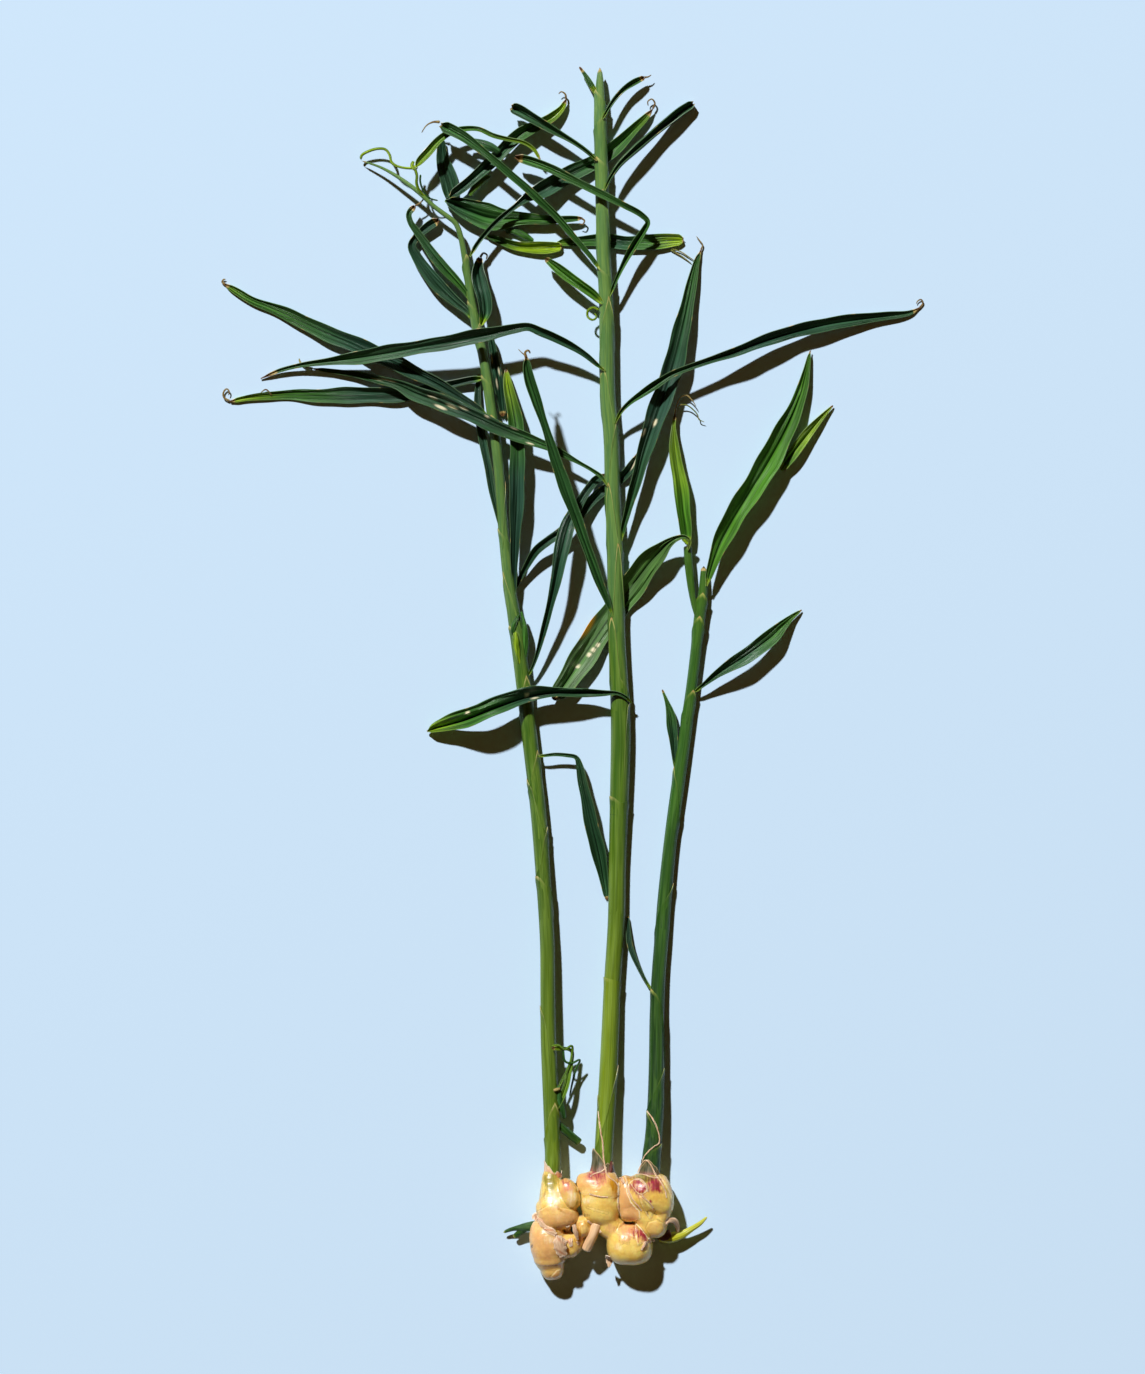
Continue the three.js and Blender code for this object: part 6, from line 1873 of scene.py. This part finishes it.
    def rod(self, rod: Rod) -> bpy.types.Object:
        """Models and finishes one rod.

        Args:
            rod: its description.

        Returns:
            The rod.
        """
        route = Route(rod.points, 120)
        piece, across, along = sheet_grid(rod.name, 28, int(max(24, route.length * 1.6)))
        travel = along * route.length
        radius = np.interp(travel, route.travel, route.width) / 2
        turn = np.radians(across * 360 - 90)
        radius = radius + 0.07 * np.sin(turn * 8 + travel * 0.2) * smooth(radius, 0.6, 1.6)
        ends = np.sqrt(np.clip(1 - smooth(travel, route.length - 1.2, route.length) ** 2, 0.0006, 1))
        radius = radius * ends * (0.02 + 0.98 * smooth(travel, -0.05, 0.6))
        spot = route.place(travel, radius * np.cos(turn), radius * np.sin(turn) * rod.flat)
        spot[:, 2] = np.maximum(spot[:, 2], 0.05)
        set_points(piece, spot)
        end = smooth(travel, route.length - 1.6, route.length - 0.4)
        store(piece, lip=end, dry=end * 0.5, shade=0 * along, tone=0 * along + 0.5)
        close_tube(piece, SEAM)
        self.dresser.dress(piece, rod.finish, *rod.nodes)
        return piece

    def flake(self, name: str, points: list[Point], bow: float, *nodes: str) -> bpy.types.Object:
        """A thin torn scale: a ragged sheet bowed across its length.

        Args:
            name: its name.
            points: its route.
            bow: how far its edges turn down, against its half width.
            nodes: the frame's nodes that it stands for.

        Returns:
            The flake.
        """
        route = Route(points, 60)
        piece, across, along = sheet_grid(name, 16, int(max(14, route.length * 1.6)))
        travel = along * route.length
        side = across * 2 - 1
        half = np.interp(travel, route.travel, route.width) / 2
        ragged = 1 + 0.1 * np.sin(travel * 1.7 + side * 2) + 0.08 * np.sin(travel * 3.9 - side)
        lift = 0.12 * np.sin(side * 9 + travel * 0.5) - bow * half * side**2
        travel = travel + 0.5 * np.sin(side * 5 + route.length) * np.cos(along * math.pi)
        points = route.place(travel, side * half * ragged, lift)
        set_points(piece, points)
        edge = smooth(np.maximum(np.abs(side), np.abs(2 * along - 1)), 0.8, 1.0)
        store(piece, lip=edge * 0.8, foot=smooth(np.sin(travel * 0.7 + side * 3), 0.4, 1.0) * 0.6)
        finish_shape(piece, FLAKE_WALL)
        self.dresser.dress(piece, FinishName.PAPER, *nodes)
        return piece

    def laid(
        self, kind: str, routes: dict[str, list[tuple]], ground: list[bpy.types.Object], gap: float,
        bow: float,
    ) -> None:
        """Lays flakes on what is under them.

        Args:
            kind: what their names start with.
            routes: each flake's name and its line in plan, with its width at each point.
            ground: the pieces that they lie on.
            gap: how far above it, mm.
            bow: how far their edges turn down.
        """
        for name, route in routes.items():
            points = []
            for x, y, width in route:
                hits = [piece.ray_cast(Vector((x * MM, y * MM, 0.1)), Vector((0, 0, -1))) for piece in ground]
                tops = [place.z / MM + gap for hit, place, *_ in hits if hit]
                points.append((x, y, max(tops, default=14.0), width))
            self.flake(kind + name, points, bow)

    def build(self, rhizome: bpy.types.Object, stems: list[bpy.types.Object]) -> None:
        """Models every small piece.

        Args:
            rhizome: the finished rhizome.
            stems: the finished stems.
        """
        collars = [self.collar(collar) for collar in self.COLLARS]
        self.laid("scrap_", self.SCRAPS, [rhizome], 0.7, 0.35)
        self.laid("edge_", self.EDGES, [rhizome, *stems, *collars], 0.25, 0.2)
        for rod in self.RODS:
            self.rod(rod)
        for name, points, bow, node in self.TORN_SCALES:
            self.flake(name, points, bow, node)


# --- Stage ----------------------------------------------------------------------------------


class Studio:
    """The pale floor, the soft light and the camera, straight above the plant."""

    HEIGHT = 4.0  # camera above the floor, m
    VIEW = 0.8244  # length of the view at the plant, m
    AIM = (-0.0006, -0.0084)  # where the view is centred, m
    SENSOR = 36.0
    KEY_FROM = Vector((-0.43, 0.87, 1.0))
    KEY_DISTANCE = 24.0  # m
    FILL = (0.052, 0.027, 0.006)  # weak light from all round

    def build(self) -> None:
        """Makes the floor, the lights and the camera."""
        self._floor()
        self._lights()
        self._camera()

    def _floor(self) -> None:
        """A plain pale floor."""
        select()
        bpy.ops.mesh.primitive_plane_add(size=8.0, location=(0, 0, 0))
        floor = bpy.context.object
        floor.name = "floor"
        material = bpy.data.materials.new("pale_floor")
        material.use_nodes = True
        shader = material.node_tree.nodes["Principled BSDF"]
        shader.inputs["Base Color"].default_value = (*linear(200, 225, 248), 1.0)
        shader.inputs["Roughness"].default_value = 0.9
        shader.inputs["Specular IOR Level"].default_value = 0.1
        floor.data.materials.append(material)

    def _lights(self) -> None:
        """A key light from the upper left, and a weak warm fill that the camera sees as pale blue."""
        direction = self.KEY_FROM.normalized()
        key = bpy.data.lights.new("key", "AREA")
        key.size = 0.9
        key.energy = 7850.0
        key.color = (1.0, 1.0, 0.995)
        lamp = bpy.data.objects.new("key", key)
        lamp.location = direction * self.KEY_DISTANCE
        lamp.rotation_mode = "QUATERNION"
        lamp.rotation_quaternion = (-direction).to_track_quat("-Z", "Y")
        bpy.context.scene.collection.objects.link(lamp)
        world = bpy.data.worlds.new("soft_fill")
        world.use_nodes = True
        back = world.node_tree.nodes["Background"]
        graph = Graph(world.node_tree)
        seen = graph.add("LightPath").outputs["Is Camera Ray"]
        graph.feed(back.inputs[0], graph.mix(seen, self.FILL, linear(206, 226, 244)))
        bpy.context.scene.world = world
        bpy.context.scene.view_settings.view_transform = "Standard"

    def _camera(self) -> None:
        """The camera, looking straight down with the stems up the picture."""
        data = bpy.data.cameras.new("above")
        data.sensor_width = self.SENSOR
        data.lens = self.SENSOR * self.HEIGHT / self.VIEW
        data.clip_end = 50.0
        camera = bpy.data.objects.new("above", data)
        camera.location = (*self.AIM, self.HEIGHT)
        bpy.context.scene.collection.objects.link(camera)
        bpy.context.scene.camera = camera


def main() -> None:
    """Builds the plant piece by piece."""
    logging.basicConfig(level=logging.INFO, format="%(message)s")
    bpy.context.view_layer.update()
    Studio().build()
    dresser = Dresser()
    rhizome = Rhizome(dresser).build()
    builder = Stems(dresser)
    stems = [builder.build(stem) for stem in STEMS]
    foliage = Foliage(dresser)
    for blade in LEFT_BLADES + MIDDLE_BLADES + RIGHT_BLADES:
        foliage.build(blade)
    curls = Curls(dresser)
    for tendril in TENDRILS:
        curls.build(tendril)
    Trimmings(dresser).build(rhizome, stems)
    LOG.info("%d pieces", dresser.count)


if __name__ == "__main__":
    main()
